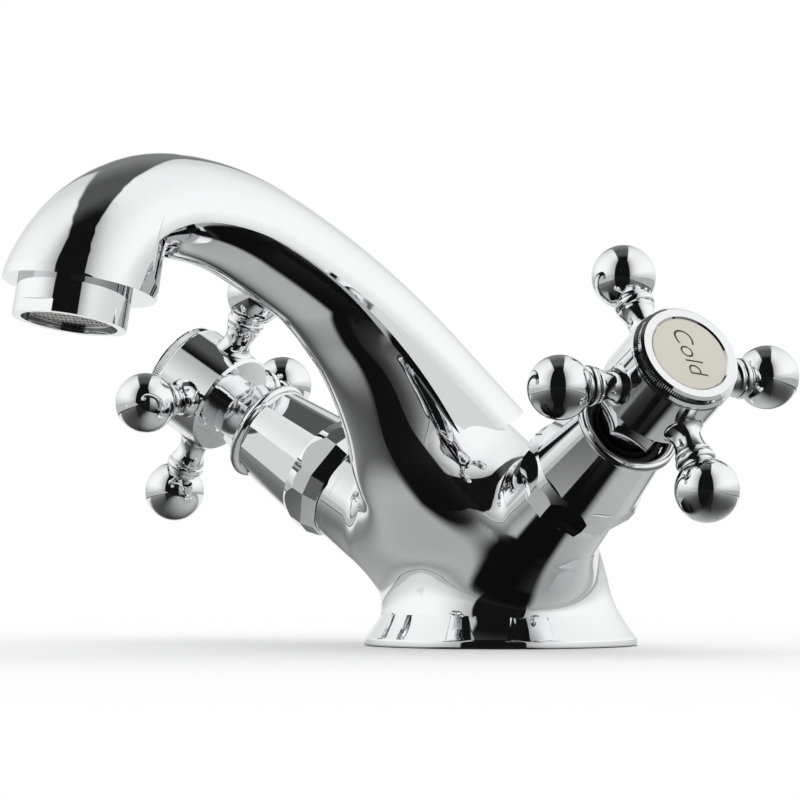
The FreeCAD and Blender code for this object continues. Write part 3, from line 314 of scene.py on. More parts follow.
def soft_union(first, second, reach):
    """Smaller of two distances, rounded where they come within reach of each other."""
    reach = np.maximum(reach, LEAST_BLEND)
    share = np.maximum(reach - np.abs(first - second), 0.0)
    return np.minimum(first, second) - share * share / (4.0 * reach)


def ramp(value, low, high):
    """Smooth rise from 0 to 1 while value runs from low to high."""
    share = np.clip((value - low) / (high - low), 0.0, 1.0)
    return share * share * (3.0 - 2.0 * share)


NOSE_CENTRE = (CROWN_YZ[0], CROWN_YZ[1] - NOSE_RADIUS)
CROWN_CENTRE = (CROWN_YZ[0], CROWN_YZ[1] - CROWN_RADIUS)
FALL_CENTRE = (CROWN_CENTRE[0] - (FALL_RADIUS - CROWN_RADIUS) * math.sin(KNEE_SLOPE),
               CROWN_CENTRE[1] - (FALL_RADIUS - CROWN_RADIUS) * math.cos(KNEE_SLOPE))
TAIL_START = (FALL_CENTRE[0] + FALL_RADIUS * math.sin(TAIL_SLOPE),
              FALL_CENTRE[1] + FALL_RADIUS * math.cos(TAIL_SLOPE))


def lift_of(y, z):
    """Height above the arcs of the middle line, square to them."""
    past_knee = ((y - CROWN_CENTRE[0]) * math.cos(KNEE_SLOPE)
                 - (z - CROWN_CENTRE[1]) * math.sin(KNEE_SLOPE)) > 0
    over_nose = np.hypot(y - NOSE_CENTRE[0], z - NOSE_CENTRE[1]) - NOSE_RADIUS
    over_crown = np.hypot(y - CROWN_CENTRE[0], z - CROWN_CENTRE[1]) - CROWN_RADIUS
    over_fall = np.hypot(y - FALL_CENTRE[0], z - FALL_CENTRE[1]) - FALL_RADIUS
    return np.where(y < CROWN_YZ[0], over_nose, np.where(past_knee, over_fall, over_crown))


def tail_parts(y, z):
    """How far a point lies along the straight tail, and its height above the tail's line."""
    run_y = math.cos(TAIL_SLOPE)
    run_z = -math.sin(TAIL_SLOPE)
    from_y = y - TAIL_START[0]
    from_z = z - TAIL_START[1]
    return from_y * run_y + from_z * run_z, from_z * run_y - from_y * run_z


def keel_distance(x, y, z):
    lift = lift_of(y, z)
    below = np.hypot(x, lift + KEEL_DEPTH - KEEL_BOW) - KEEL_BOW
    above = np.hypot(x, lift) - KEEL_COVER
    under_nose = np.where(y < CROWN_YZ[0], NOSE_KEEL_LOW - z, WELL_INSIDE)
    ends = np.maximum(tail_parts(y, z)[0], np.maximum(KEEL_FRONT - y, under_nose))
    return np.maximum(np.maximum(below, above), ends)


def spline(values):
    """Values at even steps with the second derivatives of a natural cubic through them."""
    count = len(values)
    matrix = np.eye(count)
    right = np.zeros(count)
    for row in range(1, count - 1):
        matrix[row, row - 1:row + 2] = (1.0, 4.0, 1.0)
        right[row] = 6.0 * (values[row - 1] - 2.0 * values[row] + values[row + 1])
    return np.asarray(values, dtype=float), np.linalg.solve(matrix, right)


def spline_at(curve, place):
    values, bends = curve
    place = np.clip(place, 0.0, len(values) - 1.0)
    low = np.minimum(place.astype(int), len(values) - 2)
    right = place - low
    left = 1.0 - right
    return (left * values[low] + right * values[low + 1]
            + ((left ** 3 - left) * bends[low] + (right ** 3 - right) * bends[low + 1]) / 6.0)


CORE = [spline([share * NECK_RADIUS for share in column]) for column in zip(*CORE_SHARES)]


def core_side(y, z, place):
    """Positive where (y, z) lies beyond the section line at place."""
    front_y, front_z, back_y, back_z = (spline_at(curve, place) for curve in CORE[:4])
    run_y = back_y - front_y
    run_z = back_z - front_z
    return ((y - front_y) * run_z - (z - front_z) * run_y) / np.hypot(run_y, run_z)


def section_places(y, z):
    """The section on which each point lies, found by halving."""
    low = np.zeros_like(y)
    high = np.full_like(y, LAST_SECTION)
    for _ in range(SECTION_HALVINGS):
        middle = 0.5 * (low + high)
        beyond = core_side(y, z, middle) > 0
        low = np.where(beyond, middle, low)
        high = np.where(beyond, high, middle)
    return 0.5 * (low + high)


def core_distance(x, y, z, place):
    front_y, front_z, back_y, back_z, half = (spline_at(curve, place) for curve in CORE)
    reach = 0.5 * np.hypot(back_y - front_y, back_z - front_z)
    run_y = (back_y - front_y) / (2.0 * reach)
    run_z = (back_z - front_z) / (2.0 * reach)
    across = ((y - 0.5 * (front_y + back_y)) * run_y
              + (z - 0.5 * (front_z + back_z)) * run_z)
    share = np.maximum(np.hypot(across / reach, x / half), LEAST_SHARE)
    steepness = np.hypot(across / reach ** 2, x / half ** 2) / share
    side = (share - 1.0) / np.maximum(steepness, LEAST_STEEPNESS)
    above_first = -core_side(y, z, np.zeros_like(y))
    below_last = core_side(y, z, np.full_like(y, LAST_SECTION))
    return np.maximum(side, np.maximum(above_first, below_last))


def handle_way(side):
    """Direction of a handle's axis, outwards; side is 1 for cold and -1 for hot."""
    return (side * math.cos(HANDLE_TILT) * math.cos(HANDLE_SWEEP),
            -math.cos(HANDLE_TILT) * math.sin(HANDLE_SWEEP), math.sin(HANDLE_TILT))


def branch_radius(depth):
    return BRANCH_RADIUS + BRANCH_GROWTH * (depth - SHOULDER_DEPTH)


def branch_distance(x, y, z):
    """Distance to the nearer branch, and how far down that branch the point lies."""
    from_centre = (np.abs(x) - HANDLE_CENTRE[0], y - HANDLE_CENTRE[1], z - HANDLE_CENTRE[2])
    along = sum(part * way for part, way in zip(from_centre, handle_way(1)))
    square = sum(part * part for part in from_centre) - along * along
    depth = -along
    side = np.sqrt(np.maximum(square, 0.0)) - branch_radius(depth)
    return np.maximum(side / math.hypot(1.0, BRANCH_GROWTH), depth - ROOT_DEPTH), depth


def flare_centre():
    """Centre of the foot's hollow curve: radius from the axis and height."""
    start = np.array((BASE_RADIUS, RIM_HEIGHT))
    end = np.array((NECK_RADIUS, NECK_HEIGHT))
    half = (end - start) * 0.5
    rise = math.sqrt(FLARE_RADIUS ** 2 - half @ half)
    outward = np.array((half[1], -half[0])) / np.linalg.norm(half)
    return start + half + outward * rise


FLARE_CENTRE = flare_centre()


def foot_distance(x, y, z):
    reach = np.hypot(x, y)
    flare = FLARE_RADIUS - np.hypot(reach - FLARE_CENTRE[0], z - FLARE_CENTRE[1])
    side = np.where(z > NECK_HEIGHT, reach - NECK_RADIUS, flare)
    side = np.where(z < RIM_HEIGHT, reach - BASE_RADIUS, side)
    slope = math.atan2(NECK_RADIUS - SLOPE_END[0], SLOPE_END[1] - NECK_HEIGHT)
    top = (reach - NECK_RADIUS) * math.cos(slope) + (z - NECK_HEIGHT) * math.sin(slope)
    rounded = -soft_union(-side, -top, NECK_ROUND * ramp(z, *NECK_ROUND_HEIGHTS))
    return np.maximum(rounded, -z)


def skin_distance(x, y, z, place):
    """Whole cast skin below the cap, down to the deck; place is the core's section."""
    body = soft_union(keel_distance(x, y, z), core_distance(x, y, z, place), KEEL_BLEND)
    branch, depth = branch_distance(x, y, z)
    branch = np.maximum(branch, BRANCH_START - depth)
    body = soft_union(body, branch, BRANCH_BLEND * ramp(depth, *HOLLOW_DEPTHS))
    return soft_union(body, foot_distance(x, y, z), FOOT_BLEND)


# Mesh of the cast skin, in millimetres

SKIN_LOW = (-50.0, -113.0, 4.0)
SKIN_HIGH = (50.0, 36.0, 93.0)
SKIN_STEP = 1.0
SLOPE_REACH = 0.02
SETTLINGS = 4
LEAST_SLOPE_SQUARED = 0.25
LONGEST_MOVE = 0.5 * SKIN_STEP
TINY = 1e-9
# The skin ends just under the seam on the foot, inside the turned ring
SEAM_HEIGHT = 7.0
SKIN_FLOOR = SEAM_HEIGHT - 1.0
SKIN_FLAT_BELOW = SEAM_HEIGHT - 0.2


def skin_at(points):
    x, y, z = points.T
    return skin_distance(x, y, z, section_places(y, z))


def skin_slope(points):
    """Direction and steepness in which the skin's distance grows at each point."""
    columns = []
    for axis in range(3):
        step = np.zeros(3)
        step[axis] = SLOPE_REACH
        rise = skin_at(points + step) - skin_at(points - step)
        columns.append(rise / (2.0 * SLOPE_REACH))
    return np.stack(columns, axis=1)


def block(grid, start, shape):
    """Part of a grid, from a start index on."""
    return grid[tuple(slice(low, low + count) for low, count in zip(start, shape))]


def surface_cells(field):
    """Sum and number of the surface's crossings on the edges of each cell, in cell steps."""
    shape = np.array(field.shape) - 1
    total = np.zeros((*shape, 3))
    hits = np.zeros(tuple(shape))
    for axis in range(3):
        for start in product((0, 1), repeat=3):
            if start[axis]:
                continue
            end = tuple(1 if part == axis else place for part, place in enumerate(start))
            first = block(field, start, shape)
            second = block(field, end, shape)
            crossed = (first < 0) != (second < 0)
            share = np.where(crossed, first / np.where(crossed, first - second, 1.0), 0.0)
            for part in range(3):
                place = start[part] + (share if part == axis else 0.0)
                total[..., part] += np.where(crossed, place, 0.0)
            hits += crossed
    return total, hits


def crossed_edges(inside, axis):
    """Grid edges along one axis that pass through the surface, away from the grid's border, and
    which of them start inside."""
    shape = list(inside.shape)
    shape[axis] -= 1
    start = [0, 0, 0]
    starts_inside = block(inside, start, shape)
    start[axis] = 1
    crossed = starts_inside != block(inside, start, shape)
    for part in range(3):
        if part == axis:
            continue
        for border in (slice(0, 1), slice(-1, None)):
            edge = [slice(None)] * 3
            edge[part] = border
            crossed[tuple(edge)] = False
    places = np.argwhere(crossed)
    return places, starts_inside[tuple(places.T)]


def net(field, low, step):
    """Quads round the zero surface of a field on a grid, one corner in each crossed cell."""
    total, hits = surface_cells(field)
    used = hits > 0
    numbers = np.full(hits.shape, -1)
    numbers[used] = np.arange(int(used.sum()))
    points = (np.argwhere(used) + total[used] / hits[used][:, None]) * step + np.array(low)
    steps = np.eye(3, dtype=int)
    quads = []
    for axis in range(3):
        places, starts_inside = crossed_edges(field < 0, axis)
        first, second = (steps[part] for part in range(3) if part != axis)
        moves = (0 * first, first, first + second, second)
        ring = np.stack([numbers[tuple((places - move).T)] for move in moves], axis=1)
        flip = starts_inside == (axis == 1)
        ring[flip] = ring[flip][:, ::-1]
        quads.append(ring)
    return points, np.concatenate(quads)


def skin_shell():
    """The cast skin as points, quads and corner normals; it ends inside the cap, the nose and
    the turned rings."""
    axes = [np.arange(low, high, SKIN_STEP) for low, high in zip(SKIN_LOW, SKIN_HIGH)]
    place = section_places(*np.meshgrid(axes[1], axes[2], indexing="ij"))
    x, y, z = np.meshgrid(*axes, indexing="ij")
    field = np.maximum(skin_distance(x, y, z, place[None, :, :]), SKIN_FLOOR - z)
    points, quads = net(field, SKIN_LOW, SKIN_STEP)
    for _ in range(SETTLINGS):
        slope = skin_slope(points)
        steepness = np.maximum((slope ** 2).sum(axis=1), LEAST_SLOPE_SQUARED)
        move = skin_at(points)[:, None] * slope / steepness[:, None]
        length = np.linalg.norm(move, axis=1)
        move *= (np.minimum(length, LONGEST_MOVE) / np.maximum(length, TINY))[:, None]
        move[points[:, 2] < SKIN_FLAT_BELOW] = 0.0
        points = points - move
    slope = skin_slope(points)
    normals = slope / np.linalg.norm(slope, axis=1)[:, None]
    return points, quads, normals[quads].reshape(-1, 3)


# Turned rings at the skin's edges, in millimetres. They stand out of the skin by SEAM_LIFT.
# Pairs are a radius or width and a height or depth.

SEAM_LIFT = 0.02
HARD_CORNER = 0.8

FOOT_FACETS = 256
FOOT_STEP = 0.3
FOOT_BORE_RADIUS = 28.2
FOOT_BORE_TOP = 1.0
RIM_CHAMFER = 0.12
RIM_EDGE = ((0.0, -0.2), (-0.05, -0.02))
FLARE_START = 0.2
SEAM_COVER = 0.1
SEAM_SHELF = 1.2
FOOT_INSIDE_RADIUS = 22.0
FOOT_INSIDE_HEIGHT = 4.0

SHOULDER_FACETS = 192
SHOULDER_STEP = 0.4
SHOULDER_INSIDE = 10.4
SHOULDER_FOOT = (11.2, 46.8)
SHOULDER_RISE_DEPTH = 45.6
SHOULDER_FACE = SHOULDER_DEPTH + 0.01
SHOULDER_CHAMFER = (0.1, 0.12)


def edge_normals(profile):
    """Outline normals at the start and at the end of each edge of a closed profile; the two
    edges of a soft corner share theirs."""
    run = np.roll(profile, -1, axis=0) - profile
    side = np.stack((run[:, 1], -run[:, 0]), axis=1)
    side /= np.maximum(np.linalg.norm(side, axis=1), TINY)[:, None]
    ends = []
    for shift in (1, -1):
        neighbour = np.roll(side, shift, axis=0)
        soft = (side * neighbour).sum(axis=1) > HARD_CORNER
        mixed = np.where(soft[:, None], side + neighbour, side)
        ends.append(mixed / np.linalg.norm(mixed, axis=1)[:, None])
    return ends


def turned(outline, turns):
    """Pairs of (radius, height) at each turn about Z, as turns by pairs by three."""
    return np.stack((np.outer(np.cos(turns), outline[:, 0]),
                     np.outer(np.sin(turns), outline[:, 0]),
                     np.tile(outline[:, 1], (len(turns), 1))), axis=2)


def lathe(profile, count, place):
    """Ring turned from a closed profile of (radius, height): points, quads, corner normals."""
    profile = np.array(profile)
    place = np.array(place)
    turns = np.arange(count) * 2.0 * math.pi / count
    numbers = np.arange(count * len(profile)).reshape(count, len(profile))
    after = np.roll(numbers, -1, axis=0)
    quads = (numbers, after, np.roll(after, -1, axis=1), np.roll(numbers, -1, axis=1))
    start, end = (turned(outline, turns) for outline in edge_normals(profile))
    normals = (start, np.roll(start, -1, axis=0), np.roll(end, -1, axis=0), end)
    points = turned(profile, turns).reshape(-1, 3) @ place[:3, :3].T + place[:3, 3]
    return (points, np.stack(quads, axis=2).reshape(-1, 4),
            np.stack(normals, axis=2).reshape(-1, 3) @ place[:3, :3].T)


def foot_ring():
    """Lower part of the foot: upright rim and the start of its flare."""
    profile = [(FOOT_BORE_RADIUS, FOOT_BORE_TOP), (FOOT_BORE_RADIUS, 0.0),
               (BASE_RADIUS - RIM_CHAMFER, 0.0), (BASE_RADIUS, RIM_CHAMFER)]
    profile += [(BASE_RADIUS + out, RIM_HEIGHT + up) for out, up in RIM_EDGE]
    for height in np.arange(RIM_HEIGHT + FLARE_START, SEAM_HEIGHT + TINY, FOOT_STEP):
        reach = FLARE_CENTRE[0] - math.sqrt(FLARE_RADIUS ** 2 - (FLARE_CENTRE[1] - height) ** 2)
        profile.append((reach + SEAM_LIFT, height))
    profile += [(profile[-1][0] - SEAM_SHELF, SEAM_HEIGHT + SEAM_COVER),
                (FOOT_INSIDE_RADIUS, SEAM_HEIGHT + SEAM_COVER),
                (FOOT_INSIDE_RADIUS, FOOT_INSIDE_HEIGHT)]
    return lathe(profile, FOOT_FACETS, Matrix.Identity(4))


def handle_place(side):
    """Frame of a handle: origin in the plane of its balls, local Z outwards; side is 1 or -1."""
    out = Vector(handle_way(side))
    across = Vector((0, 0, 1)).cross(out).normalized()
    up = out.cross(across)
    place = Matrix((across, up, out)).transposed().to_4x4()
    place.translation = Vector((side * HANDLE_CENTRE[0], HANDLE_CENTRE[1], HANDLE_CENTRE[2]))
    return place


def shoulder_ring(side):
    """Start of a branch, just under its shroud."""
    foot_radius, foot_depth = SHOULDER_FOOT
    chamfer_width, chamfer_height = SHOULDER_CHAMFER
    profile = [(SHOULDER_INSIDE, -foot_depth), (foot_radius, -foot_depth)]
    for depth in np.arange(SHOULDER_RISE_DEPTH, SHOULDER_DEPTH, -SHOULDER_STEP):
        profile.append((branch_radius(depth) + SEAM_LIFT, -depth))
    profile += [(BRANCH_RADIUS + SEAM_LIFT, -SHOULDER_FACE - chamfer_height),
                (BRANCH_RADIUS - chamfer_width, -SHOULDER_FACE),
                (SHOULDER_INSIDE, -SHOULDER_FACE)]
    return lathe(profile, SHOULDER_FACETS, handle_place(side))


# The frame's own casting, in millimetres: what stays of it on the spout, in the branches'
# mouths and under the foot, and how deep the rest lies under the cast skin

TAIL_CORNER = (-26.0, 44.8)
TAIL_REAR = (1.5, 53.6)
UNDER_SKIN = 0.8
SINKINGS = 2
SHARED_DECIMALS = 4
NOSE_END = -96.0
CAP_END = 3.0
WALL_DEPTH = 17.0
WALL_LOW = 40.0
MOUTH_DEPTH = SHOULDER_DEPTH + 0.02
MOUTH_LOW = 15.0
MOUTH_OUT = 25.0
RECESS_RADIUS = 29.9
RECESS_HEIGHT = 2.6
# How near a face's centre lies to the surface that it belongs to
CAP_NEAR = 0.08
WALL_NEAR = 0.02
TRIM_NEAR = 0.04
ARC_NEAR = 0.06
KEEL_NEAR = 0.1
LEDGE_MARGIN = 0.05
EDGE_MARGIN = 0.1


def spout_lift(y, z):
    """Height above the middle line and its straight run at the end."""
    along, height = tail_parts(y, z)
    return np.where((along > 0) & (y > CROWN_YZ[0]), height, lift_of(y, z))


def ledge_arc():
    """The ledge's last arc, from the knee to the tail's corner: start, centre and radius."""
    square = np.array((-math.sin(KNEE_SLOPE), -math.cos(KNEE_SLOPE)))
    start = np.array(FALL_CENTRE) - (FALL_RADIUS - CAP_SKIRT) * square
    chord = np.array(TAIL_CORNER) - start
    radius = chord @ chord / (2.0 * chord @ square)
    return start, start + square * radius, abs(radius)


def on_spout(points):
    """Which points lie on the spout's cap, its ledge, its trimmed end or its outlet."""
    x, y, z = points.T
    lift = spout_lift(y, z)
    across = np.abs(x)
    cap = ((np.abs(np.hypot(x, lift) - CAP_RADIUS) < CAP_NEAR) & (lift > -LEDGE_MARGIN)
           & (y < CAP_END))
    wall = ((np.abs(across - CAP_RADIUS) < WALL_NEAR) & (lift < LEDGE_MARGIN)
            & (lift > -WALL_DEPTH) & (z > WALL_LOW))
    ledge = ((np.abs(lift + CAP_SKIRT) < CAP_NEAR) & (across > KEEL_EDGE - EDGE_MARGIN)
             & (y < TAIL_CORNER[0]))
    rise = (TAIL_REAR[0] - TAIL_CORNER[0], TAIL_REAR[1] - TAIL_CORNER[1])
    above = (z - TAIL_CORNER[1]) * rise[0] - (y - TAIL_CORNER[0]) * rise[1]
    trim = ((np.abs(above / math.hypot(*rise)) < TRIM_NEAR)
            & (y > TAIL_CORNER[0] - EDGE_MARGIN) & (y < TAIL_REAR[0] + EDGE_MARGIN))
    start, centre, radius = ledge_arc()
    arc = ((np.abs(np.hypot(y - centre[0], z - centre[1]) - radius) < ARC_NEAR)
           & (y > start[0] - EDGE_MARGIN) & (y < TAIL_CORNER[0] + EDGE_MARGIN)
           & (z > TAIL_CORNER[1] - EDGE_MARGIN))
    end = (trim | arc) & (across < CAP_RADIUS + LEDGE_MARGIN)
    keel = ((np.abs(np.hypot(x, lift + KEEL_DEPTH - KEEL_BOW) - KEEL_BOW) < KEEL_NEAR)
            & (lift < -CAP_SKIRT - LEDGE_MARGIN))
    return cap | wall | ledge | end | (y < NOSE_END) & ~keel


def spout_shell(node):
    """The frame's casting, with every face that the cast skin covers drawn in under it."""
    mesh = node.data
    points = np.empty(len(mesh.vertices) * 3)
    mesh.vertices.foreach_get("co", points)
    points = points.reshape(-1, 3) / MM
    faces = np.empty(len(mesh.loops), dtype=np.int64)
    mesh.loops.foreach_get("vertex_index", faces)
    faces = faces.reshape(-1, 3)
    normals = np.empty(len(mesh.loops) * 3)
    mesh.corner_normals.foreach_get("vector", normals)
    shared, numbers = np.unique(np.round(points, SHARED_DECIMALS), axis=0, return_inverse=True)
    numbers = numbers.reshape(-1)
    centres = points[faces].mean(axis=1)
    x, y, z = centres.T
    mouth = (branch_distance(x, y, z)[1] < MOUTH_DEPTH) & (z > MOUTH_LOW) & (np.abs(x) > MOUTH_OUT)
    recess = (z < RECESS_HEIGHT) & (np.hypot(x, y) < RECESS_RADIUS)
    kept = on_spout(centres) | mouth | recess
    held = np.zeros(len(shared), dtype=bool)
    held[numbers[faces[kept]].reshape(-1)] = True
    for _ in range(SINKINGS):
        depth = skin_at(shared)
        move = np.where(held | (depth < -UNDER_SKIN), 0.0, depth + UNDER_SKIN)
        shared = shared - skin_slope(shared) * move[:, None]
    return shared[numbers], faces, normals.reshape(-1, 3)


def add_casting():
    """One object from the cast skin, the spout over it and the rings at its edges."""
    points = []
    polygons = []
    normals = []
    for shell in (skin_shell(), spout_shell(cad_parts["tap_body"]), foot_ring(),
                  shoulder_ring(1), shoulder_ring(-1)):
        base = sum(len(part) for part in points)
        points.append(shell[0])
        polygons += (shell[1] + base).tolist()
        normals.append(shell[2])
    mesh = bpy.data.meshes.new("casting")
    mesh.from_pydata((np.concatenate(points) * MM).tolist(), [], polygons)
    mesh.polygons.foreach_set("use_smooth", [True] * len(polygons))
    mesh.normals_split_custom_set(np.concatenate(normals).tolist())
    casting = bpy.data.objects.new("casting", mesh)
    scene.collection.objects.link(casting)
    mesh.materials.append(MATERIALS["body_chrome"])
    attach(casting, "mixer_body")
    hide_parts("tap_body")


# Plain index words, printed on the index discs. Sizes in millimetres.

DISC_RIM = 11.2
DISC_RADIUS = 8.65
DISC_DOME = 0.35
WORD_LENGTH = 11.8
WORD_LEAN = 0.28
WORD_THINNING = -0.012
WORD_FINENESS = 6
WORD_PRINT = 0.03
WORD_TURN = math.radians(-83.0)


def add_word(text, side, body):
    """A word that follows the domed disc, reading down the slope of the handle's face."""
    curve = bpy.data.curves.new("word", "FONT")
    curve.body = text
    curve.shear = WORD_LEAN
    curve.align_x = "CENTER"
    curve.align_y = "CENTER"
    curve.offset = WORD_THINNING
    curve.resolution_u = WORD_FINENESS
    shape = bpy.data.objects.new("word", curve)
    scene.collection.objects.link(shape)
    bpy.context.view_layer.update()
    flat = bpy.data.meshes.new_from_object(shape)
    bpy.data.objects.remove(shape)
    points = np.empty(len(flat.vertices) * 3)
    flat.vertices.foreach_get("co", points)
    points = points.reshape(-1, 3)
    points -= 0.5 * (points.max(axis=0) + points.min(axis=0))
    points *= WORD_LENGTH / np.ptp(points[:, 0])
    turn = WORD_TURN if side > 0 else math.pi - WORD_TURN
    spin = np.array(((math.cos(turn), -math.sin(turn)), (math.sin(turn), math.cos(turn))))
    points[:, :2] = points[:, :2] @ spin.T
    reach = np.hypot(points[:, 0], points[:, 1])
    points[:, 2] = DISC_RIM + DISC_DOME * (1.0 - (reach / DISC_RADIUS) ** 2) + WORD_PRINT
    place = np.array(handle_place(side))
    points = points @ place[:3, :3].T + place[:3, 3]
    flat.vertices.foreach_set("co", (points * MM).reshape(-1))
    flat.materials.clear()
    flat.materials.append(MATERIALS["word_ink"])
    word = bpy.data.objects.new(body.split("_")[0] + "_word", flat)
    scene.collection.objects.link(word)
    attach(word, body)


# Studio, as the metal sees it: an upright lit panel on each side of the tap, parallel to the
# photograph's view, a dark room between them at the camera's end, a dim ceiling and a pale sweep
# behind. Levels are grey values from 0 to 1. Directions are compared by their parts to the
# right, towards the camera and upwards; a panel is seen by the ratios of these parts.

CAMERA_TURN = math.radians(CAMERA_AZIMUTH)
TOWARDS_CAMERA = (math.sin(CAMERA_TURN), -math.cos(CAMERA_TURN), 0.0)
CAMERA_RIGHT = (math.cos(CAMERA_TURN), math.sin(CAMERA_TURN), 0.0)
UPWARDS = (0.0, 0.0, 1.0)
LEAST_DIVISOR = 0.0001

ROOM_DARK = 0.006
ROOM_EDGE = (0.0, 0.35)
CEILING = 0.09
BEHIND_LOW = 0.85
BEHIND_HIGH = 0.22
BEHIND_EDGE = (-0.85, -0.25)
BEHIND_RISE = (0.2, 0.4)

# Sign (1 for the camera's right), ratios at which the front end, the rear end and the top are
# seen, and the level at the front end
Panel = namedtuple("Panel", "sign front rear top dim")
PANELS = (Panel(-1.0, 1.40, -3.4, 3.0, 0.50), Panel(1.0, 2.7, -6.0, 5.0, 0.42))
PANEL_LIGHT = 1.0
PANEL_DIMS_FROM = 0.1
FRONT_SOFT = 0.07
REAR_SOFT = 0.15
TOP_SOFT = 0.1
# Each fade holds two ratios, the first as shares of the rear end's, and the shares of the
# panel's level that are left there
REAR_FADE = (0.6, 0.05, 0.78, 1.0)
TOP_FADE = (0.35, 1.6, 1.0, 0.91)
BASE_FADE = (0.0, 0.3, 0.7, 1.0)


def panel(wiring, right, forward, height, edges):
    """How far a direction lies inside one panel, and the panel's level there."""
    lateral = wiring.math("MAXIMUM", wiring.math("MULTIPLY", right, edges.sign), LEAST_DIVISOR)
    along = wiring.math("DIVIDE", forward, lateral)
    rise = wiring.math("DIVIDE", height, lateral)
    share = wiring.times(
        wiring.span(along, edges.front - FRONT_SOFT, edges.front + FRONT_SOFT, 1.0, 0.0),
        wiring.span(along, edges.rear * (1.0 + REAR_SOFT), edges.rear * (1.0 - REAR_SOFT)),
        wiring.span(rise, edges.top * (1.0 - TOP_SOFT), edges.top * (1.0 + TOP_SOFT), 1.0, 0.0))
    far, near, *shares = REAR_FADE
    level = wiring.times(
        wiring.span(along, PANEL_DIMS_FROM, edges.front, PANEL_LIGHT, edges.dim),
        wiring.span(along, edges.rear * far, edges.rear * near, *shares),
        wiring.span(rise, *TOP_FADE),
        wiring.span(rise, *BASE_FADE))
    return share, level


def studio_level(wiring, way):
    """Grey level of the room in each direction."""
    right = wiring.dot(way, CAMERA_RIGHT)
    forward = wiring.dot(way, TOWARDS_CAMERA)
    height = wiring.dot(way, UPWARDS)
    behind = wiring.span(forward, *BEHIND_EDGE, 1.0, 0.0)
    sweep = wiring.span(height, *BEHIND_RISE, BEHIND_LOW, BEHIND_HIGH)
    level = wiring.blend(behind, CEILING, sweep)
    level = wiring.blend(wiring.span(forward, *ROOM_EDGE), level, ROOM_DARK)
    for edges in PANELS:
        share, tone = panel(wiring, right, forward, height, edges)
        level = wiring.blend(share, level, tone)
    return level


def add_world():
    """Only glossy rays see the studio; all others see an even white."""
    world = bpy.data.worlds.new("studio")
    scene.world = world
    world.use_nodes = True
    wiring = Wiring(world.node_tree)
    path = wiring.node("ShaderNodeLightPath")
    way = wiring.node("ShaderNodeTexCoord").outputs["Generated"]
    level = wiring.blend(path.outputs["Is Glossy Ray"], 1.0, studio_level(wiring, way))
    background = wiring.node("ShaderNodeBackground")
    background.inputs["Color"].default_value = (1.0, 1.0, 1.0, 1.0)
    wiring.link(level, background.inputs["Strength"])
    wiring.output("ShaderNodeOutputWorld", background.outputs["Background"])


# Floor: plain white to the camera. The metal sees a glossy table on it with the studio's
# reflection and light painted into its colour: a painted dark strip towards the camera for the
# dark room, pale close to the foot and darker further out, painted pale far behind for the
# sweep, and painted panel light under the panels' feet after a painted dark shadow line.

FLOOR_HALF = 2.5
FLOOR_DROP = 0.0002
NEAR_FLOOR = 0.60
DEEP_FLOOR = 0.018
FLOOR_INDEX = 1.55
FLOOR_ROUGHNESS = 0.05
DEEP_REACH = (0.05, 0.11)
SWEEP_END = (-0.13, -0.075)
# Edges of the painted dark strip, the dark room's painted reflection, as ratios of right to
# forward, each with half its softness
STRIP_LEFT = (-0.85, 0.15)
STRIP_RIGHT = (0.34, 0.09)
STRIP_REACH = (0.012, 0.035)
# The panels' feet, where panel light is painted on the table: how far out they stand, the
# painted dark shadow line before them and the edges' softness
PANEL_LATERAL = 0.24
PAINTED_SHADOW_LINE = 0.02
FOOT_SOFT = 0.003
FOOT_END_SOFT = 0.06


def around(place, soft):
    return place - soft, place + soft


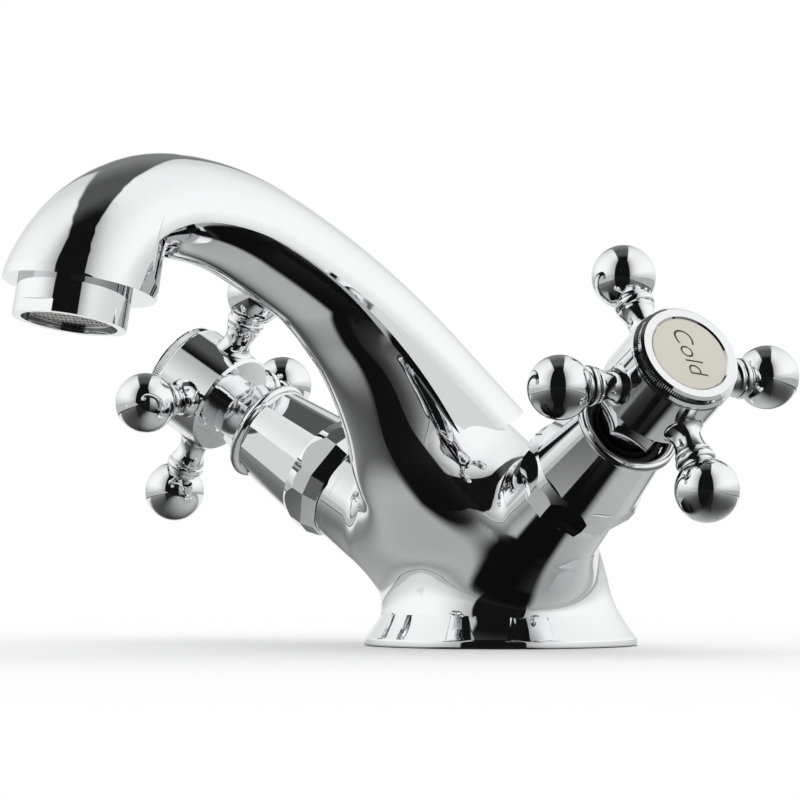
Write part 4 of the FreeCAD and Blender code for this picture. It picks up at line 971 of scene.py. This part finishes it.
def painted_table_shader(wiring, place):
    """The table as the metal sees it, with the studio's reflection and light painted on."""
    right = wiring.dot(place, CAMERA_RIGHT)
    forward = wiring.dot(place, TOWARDS_CAMERA)
    reach = wiring.length(place)
    deep = wiring.span(reach, *DEEP_REACH)
    front = wiring.span(forward, *SWEEP_END)
    slant = wiring.math("DIVIDE", right, wiring.math("MAXIMUM", forward, LEAST_DIVISOR))
    strip = wiring.times(wiring.span(slant, *around(*STRIP_LEFT)),
                         wiring.span(slant, *around(*STRIP_RIGHT), 1.0, 0.0),
                         wiring.span(reach, *STRIP_REACH))
    level = wiring.blend(deep, NEAR_FLOOR, DEEP_FLOOR)
    # Painted reflection of the dark room: a dark strip towards the camera
    level = wiring.blend(strip, level, ROOM_DARK)
    # Painted reflection of the pale sweep, far behind
    level = wiring.blend(front, BEHIND_LOW, level)
    fresnel = wiring.node("ShaderNodeFresnel")
    fresnel.inputs["IOR"].default_value = FLOOR_INDEX
    gloss = wiring.times(fresnel.outputs["Fac"], deep, front)
    # Under each panel's foot a painted dark shadow line, then painted panel light, with no gloss
    for edges in PANELS:
        lateral = wiring.math("MULTIPLY", right, edges.sign)
        along = wiring.math("DIVIDE", forward, wiring.math("MAXIMUM", lateral, LEAST_DIVISOR))
        beside = wiring.span(along, *around(edges.front, FOOT_END_SOFT), 1.0, 0.0)
        for start, tone in ((PANEL_LATERAL - PAINTED_SHADOW_LINE, 0.0), (PANEL_LATERAL, edges.dim)):
            share = wiring.times(wiring.span(lateral, start, start + FOOT_SOFT), beside)
            level = wiring.blend(share, level, tone)
            gloss = wiring.blend(share, gloss, 0.0)
    matt = wiring.node("ShaderNodeBsdfDiffuse")
    glossy = wiring.node("ShaderNodeBsdfGlossy")
    glossy.inputs["Roughness"].default_value = FLOOR_ROUGHNESS
    both = wiring.node("ShaderNodeAddShader")
    for number, (shader, tone) in enumerate(((matt, level), (glossy, gloss))):
        colour = wiring.node("ShaderNodeCombineColor")
        for name in ("Red", "Green", "Blue"):
            wiring.link(tone, colour.inputs[name])
        wiring.link(colour.outputs["Color"], shader.inputs["Color"])
        wiring.link(shader.outputs["BSDF"], both.inputs[number])
    return both.outputs["Shader"]


def add_floor():
    mesh = bpy.data.meshes.new("floor")
    half = FLOOR_HALF
    mesh.from_pydata([(-half, -half, 0), (half, -half, 0), (half, half, 0), (-half, half, 0)],
                     [], [(0, 1, 2, 3)])
    floor = bpy.data.objects.new("floor", mesh)
    floor.location.z = -FLOOR_DROP
    scene.collection.objects.link(floor)
    material = bpy.data.materials.new("floor_white")
    material.use_nodes = True
    wiring = Wiring(material.node_tree)
    place = wiring.node("ShaderNodeTexCoord").outputs["Object"]
    seen = painted_table_shader(wiring, place)
    white = wiring.node("ShaderNodeBsdfDiffuse")
    white.inputs["Color"].default_value = (1.0, 1.0, 1.0, 1.0)
    path = wiring.node("ShaderNodeLightPath")
    mix = wiring.node("ShaderNodeMixShader")
    wiring.link(path.outputs["Is Camera Ray"], mix.inputs["Fac"])
    wiring.link(seen, mix.inputs[1])
    wiring.link(white.outputs["BSDF"], mix.inputs[2])
    wiring.output("ShaderNodeOutputMaterial", mix.outputs["Shader"])
    mesh.materials.append(material)


add_camera()
add_casting()
add_word("Cold", 1, "cold_handle")
add_word("Hot", -1, "hot_handle")
add_floor()
add_world()
